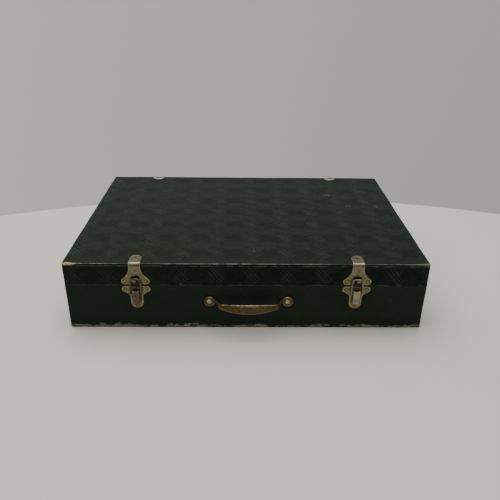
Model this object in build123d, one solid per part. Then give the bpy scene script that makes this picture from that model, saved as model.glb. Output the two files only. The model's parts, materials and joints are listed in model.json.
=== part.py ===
from build123d import *
import os
from math import cos, radians, sin, sqrt

os.makedirs("parts", exist_ok=True)

# A cloth-covered wooden carrying case with a lift-out mancala board inside.
# Origin: middle of the underside. +X to the right, +Y to the hinges, +Z up.
# All lengths are in millimetres.

# Case
CASE_W = 406.0
CASE_D = 285.0
CASE_H = 84.0
BASE_H = 57.0
SEAM = 0.4
CLOTH = 0.8
WALL = 7.0
REBATE = 3.5
BOTTOM_PANEL = 4.0
TOP_PANEL = 5.0
CORNER_R = 2.0
FRONT = CASE_D / 2

# Board, its ledges and the pad above it
BOARD_W = 388.0
BOARD_D = 267.0
BOARD_T = 26.0
BOARD_Z = 40.0
BOARD_EDGE_R = 1.5
BOARD_CORNER_R = 6.0
PIT_COLUMNS = 6
PIT_PITCH = 46.5
PIT_ROW_Y = 50.0
PIT_R = 21.0
PIT_DEPTH = 18.0
STORE_X = 166.0
STORE_W = 38.0
STORE_L = 176.0
STORE_DEPTH = 18.0
STORE_FLOOR_R = 12.0
FINGER_NOTCH_R = 13.0
LEDGE = 8.0
PAD_GAP = 2.0
PAD_CLEAR = 2.0
PAD_EDGE_R = 3.0

# Playing pieces: flattened glass stones, four to a pit
SEED_R = 6.2
SEED_HALF_T = 3.6
SEED_TILT = 33.0
SEED_GAP = 0.15
SEEDS_PER_PIT = 4

# Thin sheet fittings and their nails
SHEET = 0.8
NAIL_R = 0.7
NAIL_L = 4.8
NAIL_HEAD_R = 1.5
NAIL_HEAD_H = 0.8
HOLE_CLEAR = 0.05

# Latches: positions across, plate outlines, lever and wire loop
LATCH_X = 123.3
CATCH_NECK_HALF = 6.7
CATCH_NECK_Z = 79.0
CATCH_TAB = 19.0
CATCH_LOW_Z = 57.8
WING_HALF = 16.0
WING_R = 4.2
CATCH_WING_Z = 61.9
PLATE_TOP_Z = 55.9
PLATE_WING_Z = 51.6
PLATE_WAIST_Z = 42.0
PLATE_TAIL_R = 7.15
PLATE_TAIL_Z = 34.3
PIVOT_OUT = 3.6
PIVOT_Z = 50.0
LOOP_DROP = 3.0
LOOP_TOP_Z = 66.0
LOOP_HALF = 5.9
LOOP_BEND_R = 4.0
WIRE_R = 1.1
EYE_R = 2.2
EAR_R = 1.7
EAR_IN = 2.4
EAR_OUT = 3.3
LEVER_IN = 3.6
LEVER_OUT = 4.5
LEVER_PIN_R = 0.8
WEB_OUT = 6.4
WEB_TOP_Z = 49.5
WEB_BEND_Z = 45.5
TAIL_OUT = 4.8
TAIL_Z = 34.3
TAIL_LIP = 2.4
TONGUE_HALF = 2.5
HOOK_T = 1.1
HOOK_CLEAR = 0.3
HOOK_MOUTH = 2.7

# Hinges: positions across and the knuckle
HINGE_X = (-134.5, 130.4)
HINGE_HALF = 8.3
HINGE_T = 0.9
HINGE_TAB = 13.5
HINGE_DROP = 20.0
KNUCKLE_R = 2.0
KNUCKLE_OUT = 2.3
KNUCKLE_HALF = 2.9
KNUCKLE_GAP = 0.3
HINGE_PIN_R = 1.0
HINGE_NAIL_X = 4.6

# Handle: a fixed stamped bow riveted through the front wall
HANDLE_X = 2.35
HANDLE_Z = 36.0
RIVET_SPAN = 88.5
BOW_CROWN = 20.0
BOW_R = 82.0
BOW_T = 1.2
BOW_HALF_L = 34.0
BOW_RISE = 3.0
BOW_TOP = 41.2
BOW_LOW = 28.2
BOW_END_HALF = 2.4
NECK_T = 1.6
NECK_HALF_H = 2.5
NECK_START = 5.4
NECK_RUN = 4.0
NECK_RISE = 10.4
NECK_BEND_R = 2.0
FOOT_R = 6.3
RIVET_R = 1.6
RIVET_HEAD_R = 3.4
RIVET_HEAD_H = 2.0
WASHER_R = 5.0
WASHER_T = 0.8

# Derived places
LID_Z = BASE_H + SEAM
WALL_OUT_X = CASE_W / 2 - CLOTH
WALL_OUT_Y = CASE_D / 2 - CLOTH
WALL_IN_X = WALL_OUT_X - WALL
WALL_IN_Y = WALL_OUT_Y - WALL
PANEL_TOP = CASE_H - CLOTH
PANEL_LOW = PANEL_TOP - TOP_PANEL
BOARD_TOP = BOARD_Z + BOARD_T
PAD_LOW = BOARD_TOP + PAD_GAP
KNUCKLE_Z = BASE_H + SEAM / 2
KNUCKLE_Y = FRONT + KNUCKLE_OUT
LOOP_PIVOT_Z = PIVOT_Z - LOOP_DROP
FOOT_X = RIVET_SPAN / 2


def block(x0, x1, y0, y1, z0, z1):
    """Box between two corners."""
    middle = Pos((x0 + x1) / 2, (y0 + y1) / 2, (z0 + z1) / 2)
    return middle * Box(x1 - x0, y1 - y0, z1 - z0)


def rod_x(radius, x0, x1, y, z):
    """Round rod along X."""
    return Pos((x0 + x1) / 2, y, z) * Rot(0, 90, 0) * Cylinder(radius, x1 - x0)


def cap(radius, height):
    """Domed head standing on the XY plane."""
    ball_r = (radius**2 + height**2) / (2 * height)
    below = Pos(0, 0, -ball_r) * Box(4 * ball_r, 4 * ball_r, 2 * ball_r)
    return Pos(0, 0, height - ball_r) * Sphere(ball_r) - below


def facing_front(x, out, z):
    """Place on the front, with local Z pointing out of the case."""
    return Plane(origin=(x, -FRONT - out, z), z_dir=(0, -1, 0)).location


def facing_back(x, out, z):
    """Place on the back, with local Z pointing out of the case."""
    return Plane(origin=(x, FRONT + out, z), z_dir=(0, 1, 0)).location


def facing_up(x, y, out):
    """Place on the lid's top, with local Z pointing up."""
    return Pos(x, y, CASE_H + out)


def nail(place):
    """Short domed nail; the place is the underside of its head."""
    shank = Pos(0, 0, -NAIL_L / 2) * Cylinder(NAIL_R, NAIL_L)
    return place * (shank + cap(NAIL_HEAD_R, NAIL_HEAD_H))


def nail_hole(place):
    """Pilot hole for one nail."""
    length = NAIL_L + HOLE_CLEAR
    return place * Pos(0, 0, -length / 2) * Cylinder(NAIL_R + HOLE_CLEAR, length)


def without(solid, cutters):
    """Solid with every cutter taken away."""
    for cutter in cutters:
        solid = solid - cutter
    return solid


def group(solids):
    """Several like solids kept together as one piece of the list."""
    return Compound(children=[s for solid in solids for s in solid.solids()])


def save(node, solid):
    """Write one sub-part under its own name."""
    export_step(solid, f"parts/{node}.step")


# Nail places


def catch_nails():
    """Nails of both catch plates: two in the wings, one in the tab on top."""
    places = []
    for x in (-LATCH_X, LATCH_X):
        for side in (-1, 1):
            wing_x = x + side * (WING_HALF - WING_R)
            places.append(facing_front(wing_x, SHEET, CATCH_WING_Z))
        places.append(facing_up(x, -FRONT + CATCH_TAB - CATCH_NECK_HALF, SHEET))
    return places


def plate_nails():
    """Nails of both latch plates: two in the wings, one in the tail."""
    places = []
    for x in (-LATCH_X, LATCH_X):
        for side in (-1, 1):
            wing_x = x + side * (WING_HALF - WING_R)
            places.append(facing_front(wing_x, SHEET, PLATE_WING_Z))
        places.append(facing_front(x, SHEET, PLATE_TAIL_Z - PLATE_TAIL_R / 2))
    return places


def hinge_lid_nails():
    """Nails of the hinges' lid leaves: one on top, two behind."""
    places = []
    for x in HINGE_X:
        places.append(facing_up(x, FRONT - HINGE_TAB + HINGE_HALF, HINGE_T))
        for side in (-1, 1):
            places.append(facing_back(x + side * HINGE_NAIL_X, HINGE_T, CASE_H - HINGE_TAB))
    return places


def hinge_base_nails():
    """Nails of the hinges' base leaves."""
    places = []
    for x in HINGE_X:
        for side in (-1, 1):
            low = KNUCKLE_Z - HINGE_DROP + HINGE_HALF
            places.append(facing_back(x + side * HINGE_NAIL_X, HINGE_T, low))
    return places


def rivet_places():
    """Places where the handle's rivets pass through the front wall."""
    return [facing_front(HANDLE_X + side * FOOT_X, NECK_T, HANDLE_Z) for side in (-1, 1)]


def rivet_holes():
    """Through holes for the handle's rivets."""
    length = 2 * (WALL + CLOTH + NECK_T)
    return [p * Cylinder(RIVET_R + HOLE_CLEAR, length) for p in rivet_places()]


def lid_holes():
    """Every hole in the lid's wood and cloth."""
    return [nail_hole(p) for p in catch_nails() + hinge_lid_nails()]


def base_holes():
    """Every hole in the base's wood and cloth."""
    return [nail_hole(p) for p in plate_nails() + hinge_base_nails()] + rivet_holes()


# Case


def rounded_block(half_x, half_y, z0, z1, radius, edges_on_top):
    """Block about the middle with rounded upright edges, and top edges if asked."""
    solid = block(-half_x, half_x, -half_y, half_y, z0, z1)
    edges = solid.edges().filter_by(Axis.Z)
    if edges_on_top:
        edges = edges + solid.faces().sort_by(Axis.Z)[-1].edges()
    return fillet(edges, radius)


def wood_core(z0, z1, edges_on_top):
    """Outer shape of the bare wood inside the cloth."""
    return rounded_block(WALL_OUT_X, WALL_OUT_Y, z0, z1, CORNER_R - CLOTH, edges_on_top)


def side_wall(side, z0, z1):
    """Left or right board, its ends let into the front and back boards."""
    reach = WALL_IN_Y + REBATE
    near, far = sorted((side * WALL_IN_X, side * WALL_OUT_X))
    return block(near, far, -reach, reach, z0, z1)


def long_wall(side, z0, z1):
    """Front or back board, rebated at both ends for the side boards."""
    near, far = sorted((side * WALL_IN_Y, side * WALL_OUT_Y))
    wall = block(-WALL_OUT_X, WALL_OUT_X, near, far, z0, z1)
    return without(wall, [side_wall(-1, z0, z1), side_wall(1, z0, z1)])


def save_walls(prefix, z0, z1, core, holes):
    """Four boards of one half of the case."""
    walls = {
        "front_wall": long_wall(-1, z0, z1),
        "back_wall": long_wall(1, z0, z1),
        "left_wall": side_wall(-1, z0, z1),
        "right_wall": side_wall(1, z0, z1),
    }
    for name, wall in walls.items():
        save(f"{prefix}_{name}", without(wall & core, holes))


def base_covering():
    """Cloth sleeve round the base."""
    outer = rounded_block(CASE_W / 2, CASE_D / 2, 0, BASE_H, CORNER_R, False)
    return without(outer - wood_core(0, BASE_H, False), base_holes())


def lid_covering():
    """Cloth over the lid's top and sides."""
    outer = rounded_block(CASE_W / 2, CASE_D / 2, LID_Z, CASE_H, CORNER_R, True)
    return without(outer - wood_core(LID_Z, PANEL_TOP, True), lid_holes())


def base_bottom_panel():
    """Bottom panel under the four base boards."""
    flat = block(-WALL_OUT_X, WALL_OUT_X, -WALL_OUT_Y, WALL_OUT_Y, 0, BOTTOM_PANEL)
    return flat & wood_core(0, BASE_H, False)


def lid_top_panel():
    """Top panel over the four lid boards."""
    flat = block(-WALL_OUT_X, WALL_OUT_X, -WALL_OUT_Y, WALL_OUT_Y, PANEL_LOW, PANEL_TOP)
    return without(flat & wood_core(LID_Z, PANEL_TOP, True), lid_holes())


def board_ledges():
    """Strips glued inside the base that carry the board, clear of the handle's rivets."""
    low = BOARD_Z - LEDGE
    end = WALL_IN_Y - LEDGE
    gap = FOOT_X + 2 * WASHER_R
    strips = [
        block(-WALL_IN_X, -WALL_IN_X + LEDGE, -end, end, low, BOARD_Z),
        block(WALL_IN_X - LEDGE, WALL_IN_X, -end, end, low, BOARD_Z),
        block(-WALL_IN_X, WALL_IN_X, end, WALL_IN_Y, low, BOARD_Z),
        block(-WALL_IN_X, HANDLE_X - gap, -WALL_IN_Y, -end, low, BOARD_Z),
        block(HANDLE_X + gap, WALL_IN_X, -WALL_IN_Y, -end, low, BOARD_Z),
    ]
    return group(strips)


def lid_pad():
    """Felt-covered pad glued inside the lid, which keeps the stones in their pits."""
    half_x = WALL_IN_X - PAD_CLEAR
    half_y = WALL_IN_Y - PAD_CLEAR
    pad = block(-half_x, half_x, -half_y, half_y, PAD_LOW, PANEL_LOW)
    edges = pad.edges().filter_by(Axis.Z) + pad.faces().sort_by(Axis.Z)[0].edges()
    return fillet(edges, PAD_EDGE_R)


# Board and stones


def pit_centres():
    """Middles of the round pits, two rows of six."""
    first = -(PIT_COLUMNS - 1) / 2 * PIT_PITCH
    xs = [first + i * PIT_PITCH for i in range(PIT_COLUMNS)]
    return [(x, y) for y in (-PIT_ROW_Y, PIT_ROW_Y) for x in xs]


def pit_ball():
    """Radius of the ball that hollows out a pit."""
    return (PIT_R**2 + PIT_DEPTH**2) / (2 * PIT_DEPTH)


def store(side):
    """Long store at one end of the board, with a rounded floor."""
    outline = SlotOverall(STORE_L, STORE_W, rotation=90)
    hollow = extrude(outline, BOARD_T)
    hollow = fillet(hollow.faces().sort_by(Axis.Z)[0].edges(), STORE_FLOOR_R)
    return Pos(side * STORE_X, 0, BOARD_TOP - STORE_DEPTH) * hollow


def mancala_board():
    """Solid wooden board with twelve round pits, two end stores and two finger notches."""
    edge_x = BOARD_W / 2
    edge_y = BOARD_D / 2
    board = block(-edge_x, edge_x, -edge_y, edge_y, BOARD_Z, BOARD_TOP)
    board = fillet(board.edges().filter_by(Axis.Z), BOARD_CORNER_R)
    ball = Sphere(pit_ball())
    centre_z = BOARD_TOP - PIT_DEPTH + pit_ball()
    board = without(board, [Pos(x, y, centre_z) * ball for x, y in pit_centres()])
    board = without(board, [store(-1), store(1)])
    notch = Cylinder(FINGER_NOTCH_R, 4 * BOARD_T)
    board = without(board, [Pos(0, -edge_y, BOARD_Z) * notch, Pos(0, edge_y, BOARD_Z) * notch])
    return fillet(board.faces().sort_by(Axis.Z)[-1].edges(), BOARD_EDGE_R)


def stone():
    """One flattened stone, lying flat about its middle."""
    return scale(Sphere(1), by=(SEED_R, SEED_R, SEED_HALF_T))


def seeds():
    """Four stones lying in each pit, leaning on its round wall."""
    centre_z = BOARD_TOP - PIT_DEPTH + pit_ball()
    lean = pit_ball() - SEED_HALF_T - SEED_GAP
    piece = stone()
    stones = []
    for x, y in pit_centres():
        for i in range(SEEDS_PER_PIT):
            swing = Rot(0, 0, 360 * (i + 0.5) / SEEDS_PER_PIT) * Rot(0, -SEED_TILT, 0)
            stones.append(Pos(x, y, centre_z) * swing * Pos(0, 0, -lean) * piece)
    return group(stones)


# Latches


def front_sheet(half_outline, x):
    """Sheet on the front face from the right half of its outline, given as edges."""
    outline = half_outline + mirror(half_outline, Plane.YZ)
    face = make_face(outline)
    return Pos(x, 0, 0) * extrude(Plane.XZ.offset(FRONT) * face, SHEET)


def side_solid(points, half, x):
    """Solid across X from a side outline, given as (distance out of the front, height)."""
    outline = Polyline([(-FRONT - out, z) for out, z in points], close=True)
    face = Plane.YZ * make_face(outline)
    return Pos(x, 0, 0) * extrude(face, half, both=True)


def catch_outline():
    """Right half of the catch plate: narrow neck flaring to a round wing."""
    wing_x = WING_HALF - WING_R
    shoulder = (wing_x + WING_R * cos(radians(40)), CATCH_WING_Z + WING_R * sin(radians(40)))
    wing_foot = (wing_x, CATCH_LOW_Z)
    flare = (CATCH_NECK_HALF + 2.4, (CATCH_NECK_Z + shoulder[1]) / 2)
    neck = (CATCH_NECK_HALF, CATCH_NECK_Z)
    line = Line((0, CASE_H + SHEET), (CATCH_NECK_HALF, CASE_H + SHEET))
    line += Line((CATCH_NECK_HALF, CASE_H + SHEET), neck)
    line += ThreePointArc(neck, flare, shoulder)
    line += ThreePointArc(shoulder, (WING_HALF, CATCH_WING_Z - WING_R / 4), wing_foot)
    return line + Line(wing_foot, (0, CATCH_LOW_Z))


def hook(x):
    """Tongue folded up from the catch plate's foot and swept out into a hook."""
    floor = LOOP_TOP_Z - WIRE_R - HOOK_CLEAR
    tip = LOOP_TOP_Z + HOOK_T / 2
    nose = PIVOT_OUT + WIRE_R + HOOK_MOUTH
    fold = SHEET + HOOK_T
    points = [
        (SHEET / 2, CATCH_LOW_Z),
        (fold, CATCH_LOW_Z),
        (fold, floor - 3 * HOOK_T),
        (fold + HOOK_T, floor - HOOK_T),
        (nose, floor - HOOK_T),
        (nose + HOOK_T, floor),
        (nose + HOOK_T, tip),
        (nose, tip),
        (nose, floor + HOOK_T / 2),
        (nose - HOOK_T / 2, floor),
        (fold + HOOK_T, floor),
        (SHEET / 2, floor - 2 * HOOK_T),
    ]
    tongue = side_solid(points, TONGUE_HALF, x)
    tips = tongue.edges().filter_by(Axis.X).sort_by(Axis.Z)[-2:]
    return fillet(tips, HOOK_T / 3)


def catch_plate(x):
    """Upper plate of a latch, bent over the lid's front edge."""
    tab_end = -FRONT + CATCH_TAB - CATCH_NECK_HALF
    tab = block(-CATCH_NECK_HALF, CATCH_NECK_HALF, -FRONT - SHEET, tab_end, CASE_H, CASE_H + SHEET)
    tab += Pos(0, tab_end, CASE_H + SHEET / 2) * Cylinder(CATCH_NECK_HALF, SHEET)
    plate = front_sheet(catch_outline(), 0) + tab
    bend = plate.edges().filter_by(Axis.X).sort_by(lambda e: e.center().Z - e.center().Y)[-1]
    plate = fillet(bend, 0.9 * SHEET)
    plate = Pos(x, 0, 0) * plate + hook(x)
    return without(plate, [nail_hole(p) for p in catch_nails()])


def plate_outline():
    """Right half of the latch plate: round wing above a rounded tail."""
    wing_x = WING_HALF - WING_R
    top = (wing_x, PLATE_TOP_Z)
    low = (wing_x + WING_R * cos(radians(40)), PLATE_WING_Z - WING_R * sin(radians(40)))
    waist = (PLATE_TAIL_R, PLATE_WAIST_Z)
    tail = (PLATE_TAIL_R, PLATE_TAIL_Z)
    bulge = (PLATE_TAIL_R + 1.3, PLATE_WAIST_Z + 3.6)
    line = Line((0, PLATE_TOP_Z), top)
    line += ThreePointArc(top, (WING_HALF, PLATE_WING_Z + WING_R / 4), low)
    line += ThreePointArc(low, bulge, waist)
    line += Line(waist, tail)
    diagonal = PLATE_TAIL_R / sqrt(2)
    foot = (0, PLATE_TAIL_Z - PLATE_TAIL_R)
    return line + ThreePointArc(tail, (diagonal, PLATE_TAIL_Z - diagonal), foot)


def ear(side, x):
    """Ear of the latch plate that carries the lever's pin."""
    near, far = sorted((side * EAR_IN, side * EAR_OUT))
    pin_y = -FRONT - PIVOT_OUT
    root = -FRONT - SHEET / 2
    solid = block(near, far, pin_y, root, PIVOT_Z - EAR_R, PIVOT_Z + EAR_R)
    return Pos(x, 0, 0) * (solid + rod_x(EAR_R, near, far, pin_y, PIVOT_Z))


def latch_plate(x):
    """Lower plate of a latch, with two ears."""
    plate = front_sheet(plate_outline(), x) + ear(-1, x) + ear(1, x)
    pin_y = -FRONT - PIVOT_OUT
    bore = rod_x(LEVER_PIN_R + HOLE_CLEAR, x - LEVER_OUT, x + LEVER_OUT, pin_y, PIVOT_Z)
    return without(plate, [bore] + [nail_hole(p) for p in plate_nails()])


def lever_pin(x):
    """Pin through the ears and the lever."""
    return rod_x(LEVER_PIN_R, x - LEVER_OUT, x + LEVER_OUT, -FRONT - PIVOT_OUT, PIVOT_Z)


def lever(x):
    """Channel-shaped lever: a web in front, a flange with two eyes on each side."""
    pivot_y = -FRONT - PIVOT_OUT
    web_in = WEB_OUT - SHEET
    tail_in = TAIL_OUT - SHEET
    body = [
        (WEB_OUT, WEB_TOP_Z),
        (WEB_OUT, WEB_BEND_Z),
        (TAIL_OUT, TAIL_Z + TAIL_LIP),
        (TAIL_OUT + SHEET, TAIL_Z + SHEET / 2),
        (TAIL_OUT, TAIL_Z),
        (tail_in, TAIL_Z + TAIL_LIP - SHEET),
        (PIVOT_OUT - EYE_R + EYE_R / 8, LOOP_PIVOT_Z - EYE_R / 2),
        (PIVOT_OUT, WEB_TOP_Z),
    ]
    cavity = [
        (WEB_OUT + SHEET, PIVOT_Z + 2 * EYE_R),
        (WEB_OUT + SHEET, WEB_TOP_Z),
        (web_in, WEB_TOP_Z),
        (web_in, WEB_BEND_Z),
        (tail_in, TAIL_Z + TAIL_LIP + SHEET),
        (0, TAIL_Z + TAIL_LIP + SHEET),
        (0, PIVOT_Z + 2 * EYE_R),
    ]
    solid = side_solid(body, LEVER_OUT, x)
    for z in (PIVOT_Z, LOOP_PIVOT_Z):
        solid += rod_x(EYE_R, x - LEVER_OUT, x + LEVER_OUT, pivot_y, z)
    solid -= side_solid(cavity, LEVER_IN, x)
    pin_bore = rod_x(LEVER_PIN_R + HOLE_CLEAR, x - LEVER_OUT, x + LEVER_OUT, pivot_y, PIVOT_Z)
    loop_bore = rod_x(WIRE_R + HOLE_CLEAR, x - LEVER_OUT, x + LEVER_OUT, pivot_y, LOOP_PIVOT_Z)
    return without(solid, [pin_bore, loop_bore])


def wire_loop(x):
    """Wire loop hung in the lever's lower eyes, its bar lying in the hook."""
    inside = LEVER_IN - HOLE_CLEAR
    route = [
        (-inside, LOOP_PIVOT_Z),
        (-LOOP_HALF, LOOP_PIVOT_Z),
        (-LOOP_HALF, LOOP_TOP_Z),
        (LOOP_HALF, LOOP_TOP_Z),
        (LOOP_HALF, LOOP_PIVOT_Z),
        (inside, LOOP_PIVOT_Z),
    ]
    foot_bend = WIRE_R + HOLE_CLEAR
    bends = [foot_bend, LOOP_BEND_R, LOOP_BEND_R, foot_bend]
    path = Plane.XZ.offset(FRONT + PIVOT_OUT) * FilletPolyline(*route, radius=bends)
    section = Plane(origin=path @ 0, z_dir=path % 0) * Circle(WIRE_R)
    return Pos(x, 0, 0) * sweep(section, path)


# Hinges


def knuckle(x, near, far):
    """Rolled barrel of a hinge leaf."""
    return rod_x(KNUCKLE_R, x + near, x + far, KNUCKLE_Y, KNUCKLE_Z)


def hinge_bore(x):
    """Bore of the hinge pin through both leaves."""
    end = HINGE_HALF + 1
    return rod_x(HINGE_PIN_R + HOLE_CLEAR, x - end, x + end, KNUCKLE_Y, KNUCKLE_Z)


def hinge_lid_leaf(x):
    """Upper hinge leaf: middle barrel, back strip and a tab over the lid's top."""
    skin = FRONT + HINGE_T
    top = CASE_H + HINGE_T
    tab_end = FRONT - HINGE_TAB + HINGE_HALF
    strip = block(-HINGE_HALF, HINGE_HALF, FRONT, skin, LID_Z + SEAM, top)
    tab = block(-HINGE_HALF, HINGE_HALF, tab_end, skin, CASE_H, top)
    tab += Pos(0, tab_end, CASE_H + HINGE_T / 2) * Cylinder(HINGE_HALF, HINGE_T)
    leaf = strip + tab
    bend = leaf.edges().filter_by(Axis.X).sort_by(lambda e: e.center().Z + e.center().Y)[-1]
    leaf = Pos(x, 0, 0) * fillet(bend, 0.9 * HINGE_T)
    free = KNUCKLE_HALF + KNUCKLE_GAP
    slot_top = KNUCKLE_Z + KNUCKLE_R + KNUCKLE_GAP
    for near, far in ((-HINGE_HALF - 1, -free), (free, HINGE_HALF + 1)):
        leaf -= block(x + near, x + far, FRONT - 1, skin + 1, BASE_H, slot_top)
    leaf += knuckle(x, -KNUCKLE_HALF, KNUCKLE_HALF)
    return without(leaf, [hinge_bore(x)] + [nail_hole(p) for p in hinge_lid_nails()])


def hinge_base_leaf(x):
    """Lower hinge leaf: a strip down the back and two outer barrels."""
    skin = FRONT + HINGE_T
    low = KNUCKLE_Z - HINGE_DROP + HINGE_HALF
    leaf = block(x - HINGE_HALF, x + HINGE_HALF, FRONT, skin, low, BASE_H - SEAM)
    leaf += Pos(x, FRONT + HINGE_T / 2, low) * Rot(90, 0, 0) * Cylinder(HINGE_HALF, HINGE_T)
    free = KNUCKLE_HALF + KNUCKLE_GAP
    slot_low = KNUCKLE_Z - KNUCKLE_R - KNUCKLE_GAP
    leaf -= block(x - free, x + free, FRONT - 1, skin + 1, slot_low, LID_Z)
    leaf += knuckle(x, -HINGE_HALF, -free)
    leaf += knuckle(x, free, HINGE_HALF)
    return without(leaf, [hinge_bore(x)] + [nail_hole(p) for p in hinge_base_nails()])


def hinge_pin(x):
    """Pin through the three barrels of one hinge."""
    return rod_x(HINGE_PIN_R, x - HINGE_HALF, x + HINGE_HALF, KNUCKLE_Y, KNUCKLE_Z)


# Handle


def bow_outline():
    """Front outline of the grip: nearly straight above, bellied below."""
    end_top = HANDLE_Z + BOW_END_HALF
    end_low = HANDLE_Z - BOW_END_HALF
    upper = ThreePointArc((-BOW_HALF_L, end_top), (0, BOW_TOP), (BOW_HALF_L, end_top))
    lower = ThreePointArc((-BOW_HALF_L, end_low), (0, BOW_LOW), (BOW_HALF_L, end_low))
    left = Line((-BOW_HALF_L, end_low), (-BOW_HALF_L, end_top))
    right = Line((BOW_HALF_L, end_low), (BOW_HALF_L, end_top))
    return make_face(upper + right + lower + left)


def bow_shell():
    """Half-round sheet curved along the grip, its round side outwards."""
    half_h = (BOW_TOP - BOW_LOW) / 2
    round_r = (half_h**2 + BOW_RISE**2) / (2 * BOW_RISE)
    middle_z = (BOW_TOP + BOW_LOW) / 2
    ring = Circle(round_r + BOW_T / 2) - Circle(round_r - BOW_T / 2)
    round_side = Pos(round_r, 0) * Rectangle(2 * (BOW_RISE + BOW_T), 4 * half_h)
    section = Plane.XZ * Pos(BOW_R - round_r, middle_z) * (ring & round_side)
    return revolve(section, Axis.Z)


def neck(side):
    """Narrow strap from the grip's end down to the riveted foot."""
    grip_x = BOW_HALF_L - FOOT_R
    grip_out = BOW_CROWN - BOW_R + sqrt(BOW_R**2 - grip_x**2) - BOW_T / 2
    route = [
        (FOOT_X, NECK_T / 2),
        (FOOT_X - NECK_START, NECK_T / 2),
        (FOOT_X - NECK_START - NECK_RUN, NECK_RISE),
        (BOW_HALF_L - NECK_RUN, (NECK_RISE + grip_out) / 2),
        (grip_x, grip_out - BOW_T / 2),
    ]
    line = FilletPolyline(*[(side * x, -FRONT - out) for x, out in route], radius=NECK_BEND_R)
    strap = extrude(trace(line, NECK_T), NECK_HALF_H, both=True)
    return Pos(0, 0, HANDLE_Z) * strap


def handle_bow():
    """Fixed handle in one piece: grip, two necks and two round feet."""
    prism = extrude(Plane.XZ.offset(FRONT) * bow_outline(), 2 * BOW_CROWN)
    grip = Pos(0, -FRONT - BOW_CROWN + BOW_R, 0) * bow_shell() & prism
    bow = grip
    for side in (-1, 1):
        foot = facing_front(side * FOOT_X, NECK_T / 2, HANDLE_Z) * Cylinder(FOOT_R, NECK_T)
        bow = bow + neck(side) + foot
    return without(Pos(HANDLE_X, 0, 0) * bow, rivet_holes())


def handle_rivets():
    """Two domed rivets, clenched over washers inside the case."""
    grip_l = NECK_T + CLOTH + WALL + WASHER_T
    shank = Pos(0, 0, -grip_l / 2) * Cylinder(RIVET_R, grip_l)
    head = cap(RIVET_HEAD_R, RIVET_HEAD_H)
    clench = Pos(0, 0, -grip_l) * Rot(180, 0, 0) * cap(1.6 * RIVET_R, RIVET_R / 2)
    return group([p * (shank + head + clench) for p in rivet_places()])


def handle_washers():
    """Washers under the clenched ends of the rivets."""
    inner = NECK_T + CLOTH + WALL + WASHER_T / 2
    ring = Cylinder(WASHER_R, WASHER_T) - Cylinder(RIVET_R + HOLE_CLEAR, WASHER_T)
    return group([p * Pos(0, 0, -inner) * ring for p in rivet_places()])


def main():
    save_walls("base", BOTTOM_PANEL, BASE_H, wood_core(0, BASE_H, False), base_holes())
    save("base_bottom_panel", base_bottom_panel())
    save("base_covering", base_covering())
    save("board_ledges", board_ledges())
    save("mancala_board", mancala_board())
    save("seeds", seeds())

    save_walls("lid", LID_Z, PANEL_LOW, wood_core(LID_Z, PANEL_TOP, True), lid_holes())
    save("lid_top_panel", lid_top_panel())
    save("lid_covering", lid_covering())
    save("lid_pad", lid_pad())

    for side, x in (("left", -LATCH_X), ("right", LATCH_X)):
        save(f"{side}_catch_plate", catch_plate(x))
        save(f"{side}_latch_plate", latch_plate(x))
        save(f"{side}_lever", lever(x))
        save(f"{side}_lever_pin", lever_pin(x))
        save(f"{side}_wire_loop", wire_loop(x))

    for side, x in zip(("left", "right"), HINGE_X):
        save(f"{side}_hinge_lid_leaf", hinge_lid_leaf(x))
        save(f"{side}_hinge_base_leaf", hinge_base_leaf(x))
        save(f"{side}_hinge_pin", hinge_pin(x))

    save("catch_plate_nails", group([nail(p) for p in catch_nails()]))
    save("latch_plate_nails", group([nail(p) for p in plate_nails()]))
    save("hinge_lid_nails", group([nail(p) for p in hinge_lid_nails()]))
    save("hinge_base_nails", group([nail(p) for p in hinge_base_nails()]))

    save("handle_bow", handle_bow())
    save("handle_rivets", handle_rivets())
    save("handle_washers", handle_washers())


main()
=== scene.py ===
import json
import math

import bmesh
import bpy
import numpy as np
from mathutils import Matrix, Vector, noise


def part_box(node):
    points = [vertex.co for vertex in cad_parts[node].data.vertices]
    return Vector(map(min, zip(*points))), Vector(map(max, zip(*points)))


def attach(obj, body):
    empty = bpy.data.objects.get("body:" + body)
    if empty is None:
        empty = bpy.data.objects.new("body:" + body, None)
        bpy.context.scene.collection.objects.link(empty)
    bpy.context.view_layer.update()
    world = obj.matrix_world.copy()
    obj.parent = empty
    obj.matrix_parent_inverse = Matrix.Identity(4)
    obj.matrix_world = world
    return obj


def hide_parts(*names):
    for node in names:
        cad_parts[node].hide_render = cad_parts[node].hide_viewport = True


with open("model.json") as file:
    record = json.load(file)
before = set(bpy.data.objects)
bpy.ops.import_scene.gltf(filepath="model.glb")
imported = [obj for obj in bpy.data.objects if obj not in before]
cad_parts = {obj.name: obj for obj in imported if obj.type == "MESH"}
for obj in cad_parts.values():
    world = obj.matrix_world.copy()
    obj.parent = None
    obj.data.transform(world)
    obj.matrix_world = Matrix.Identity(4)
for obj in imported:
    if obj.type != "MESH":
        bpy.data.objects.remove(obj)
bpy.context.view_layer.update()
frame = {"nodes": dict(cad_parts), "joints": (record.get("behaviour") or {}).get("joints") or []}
nodes = frame["nodes"]

MM = 0.001
COLLECTION = bpy.context.scene.collection


# Places, read from the frame, in millimetres


def mm_box(node):
    """Lowest and highest corner of a CAD node, in millimetres."""
    low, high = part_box(node)
    return np.array(low) / MM, np.array(high) / MM


def middle_x(node):
    """Middle of a CAD node across the case, in millimetres."""
    low, high = mm_box(node)
    return (low[0] + high[0]) / 2


def pivot(joint_name):
    """(y, z) of a hinge's axis, in millimetres."""
    joint = next(j for j in frame["joints"] if j["name"] == joint_name)
    return joint["pos_m"][1] / MM, joint["pos_m"][2] / MM


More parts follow.
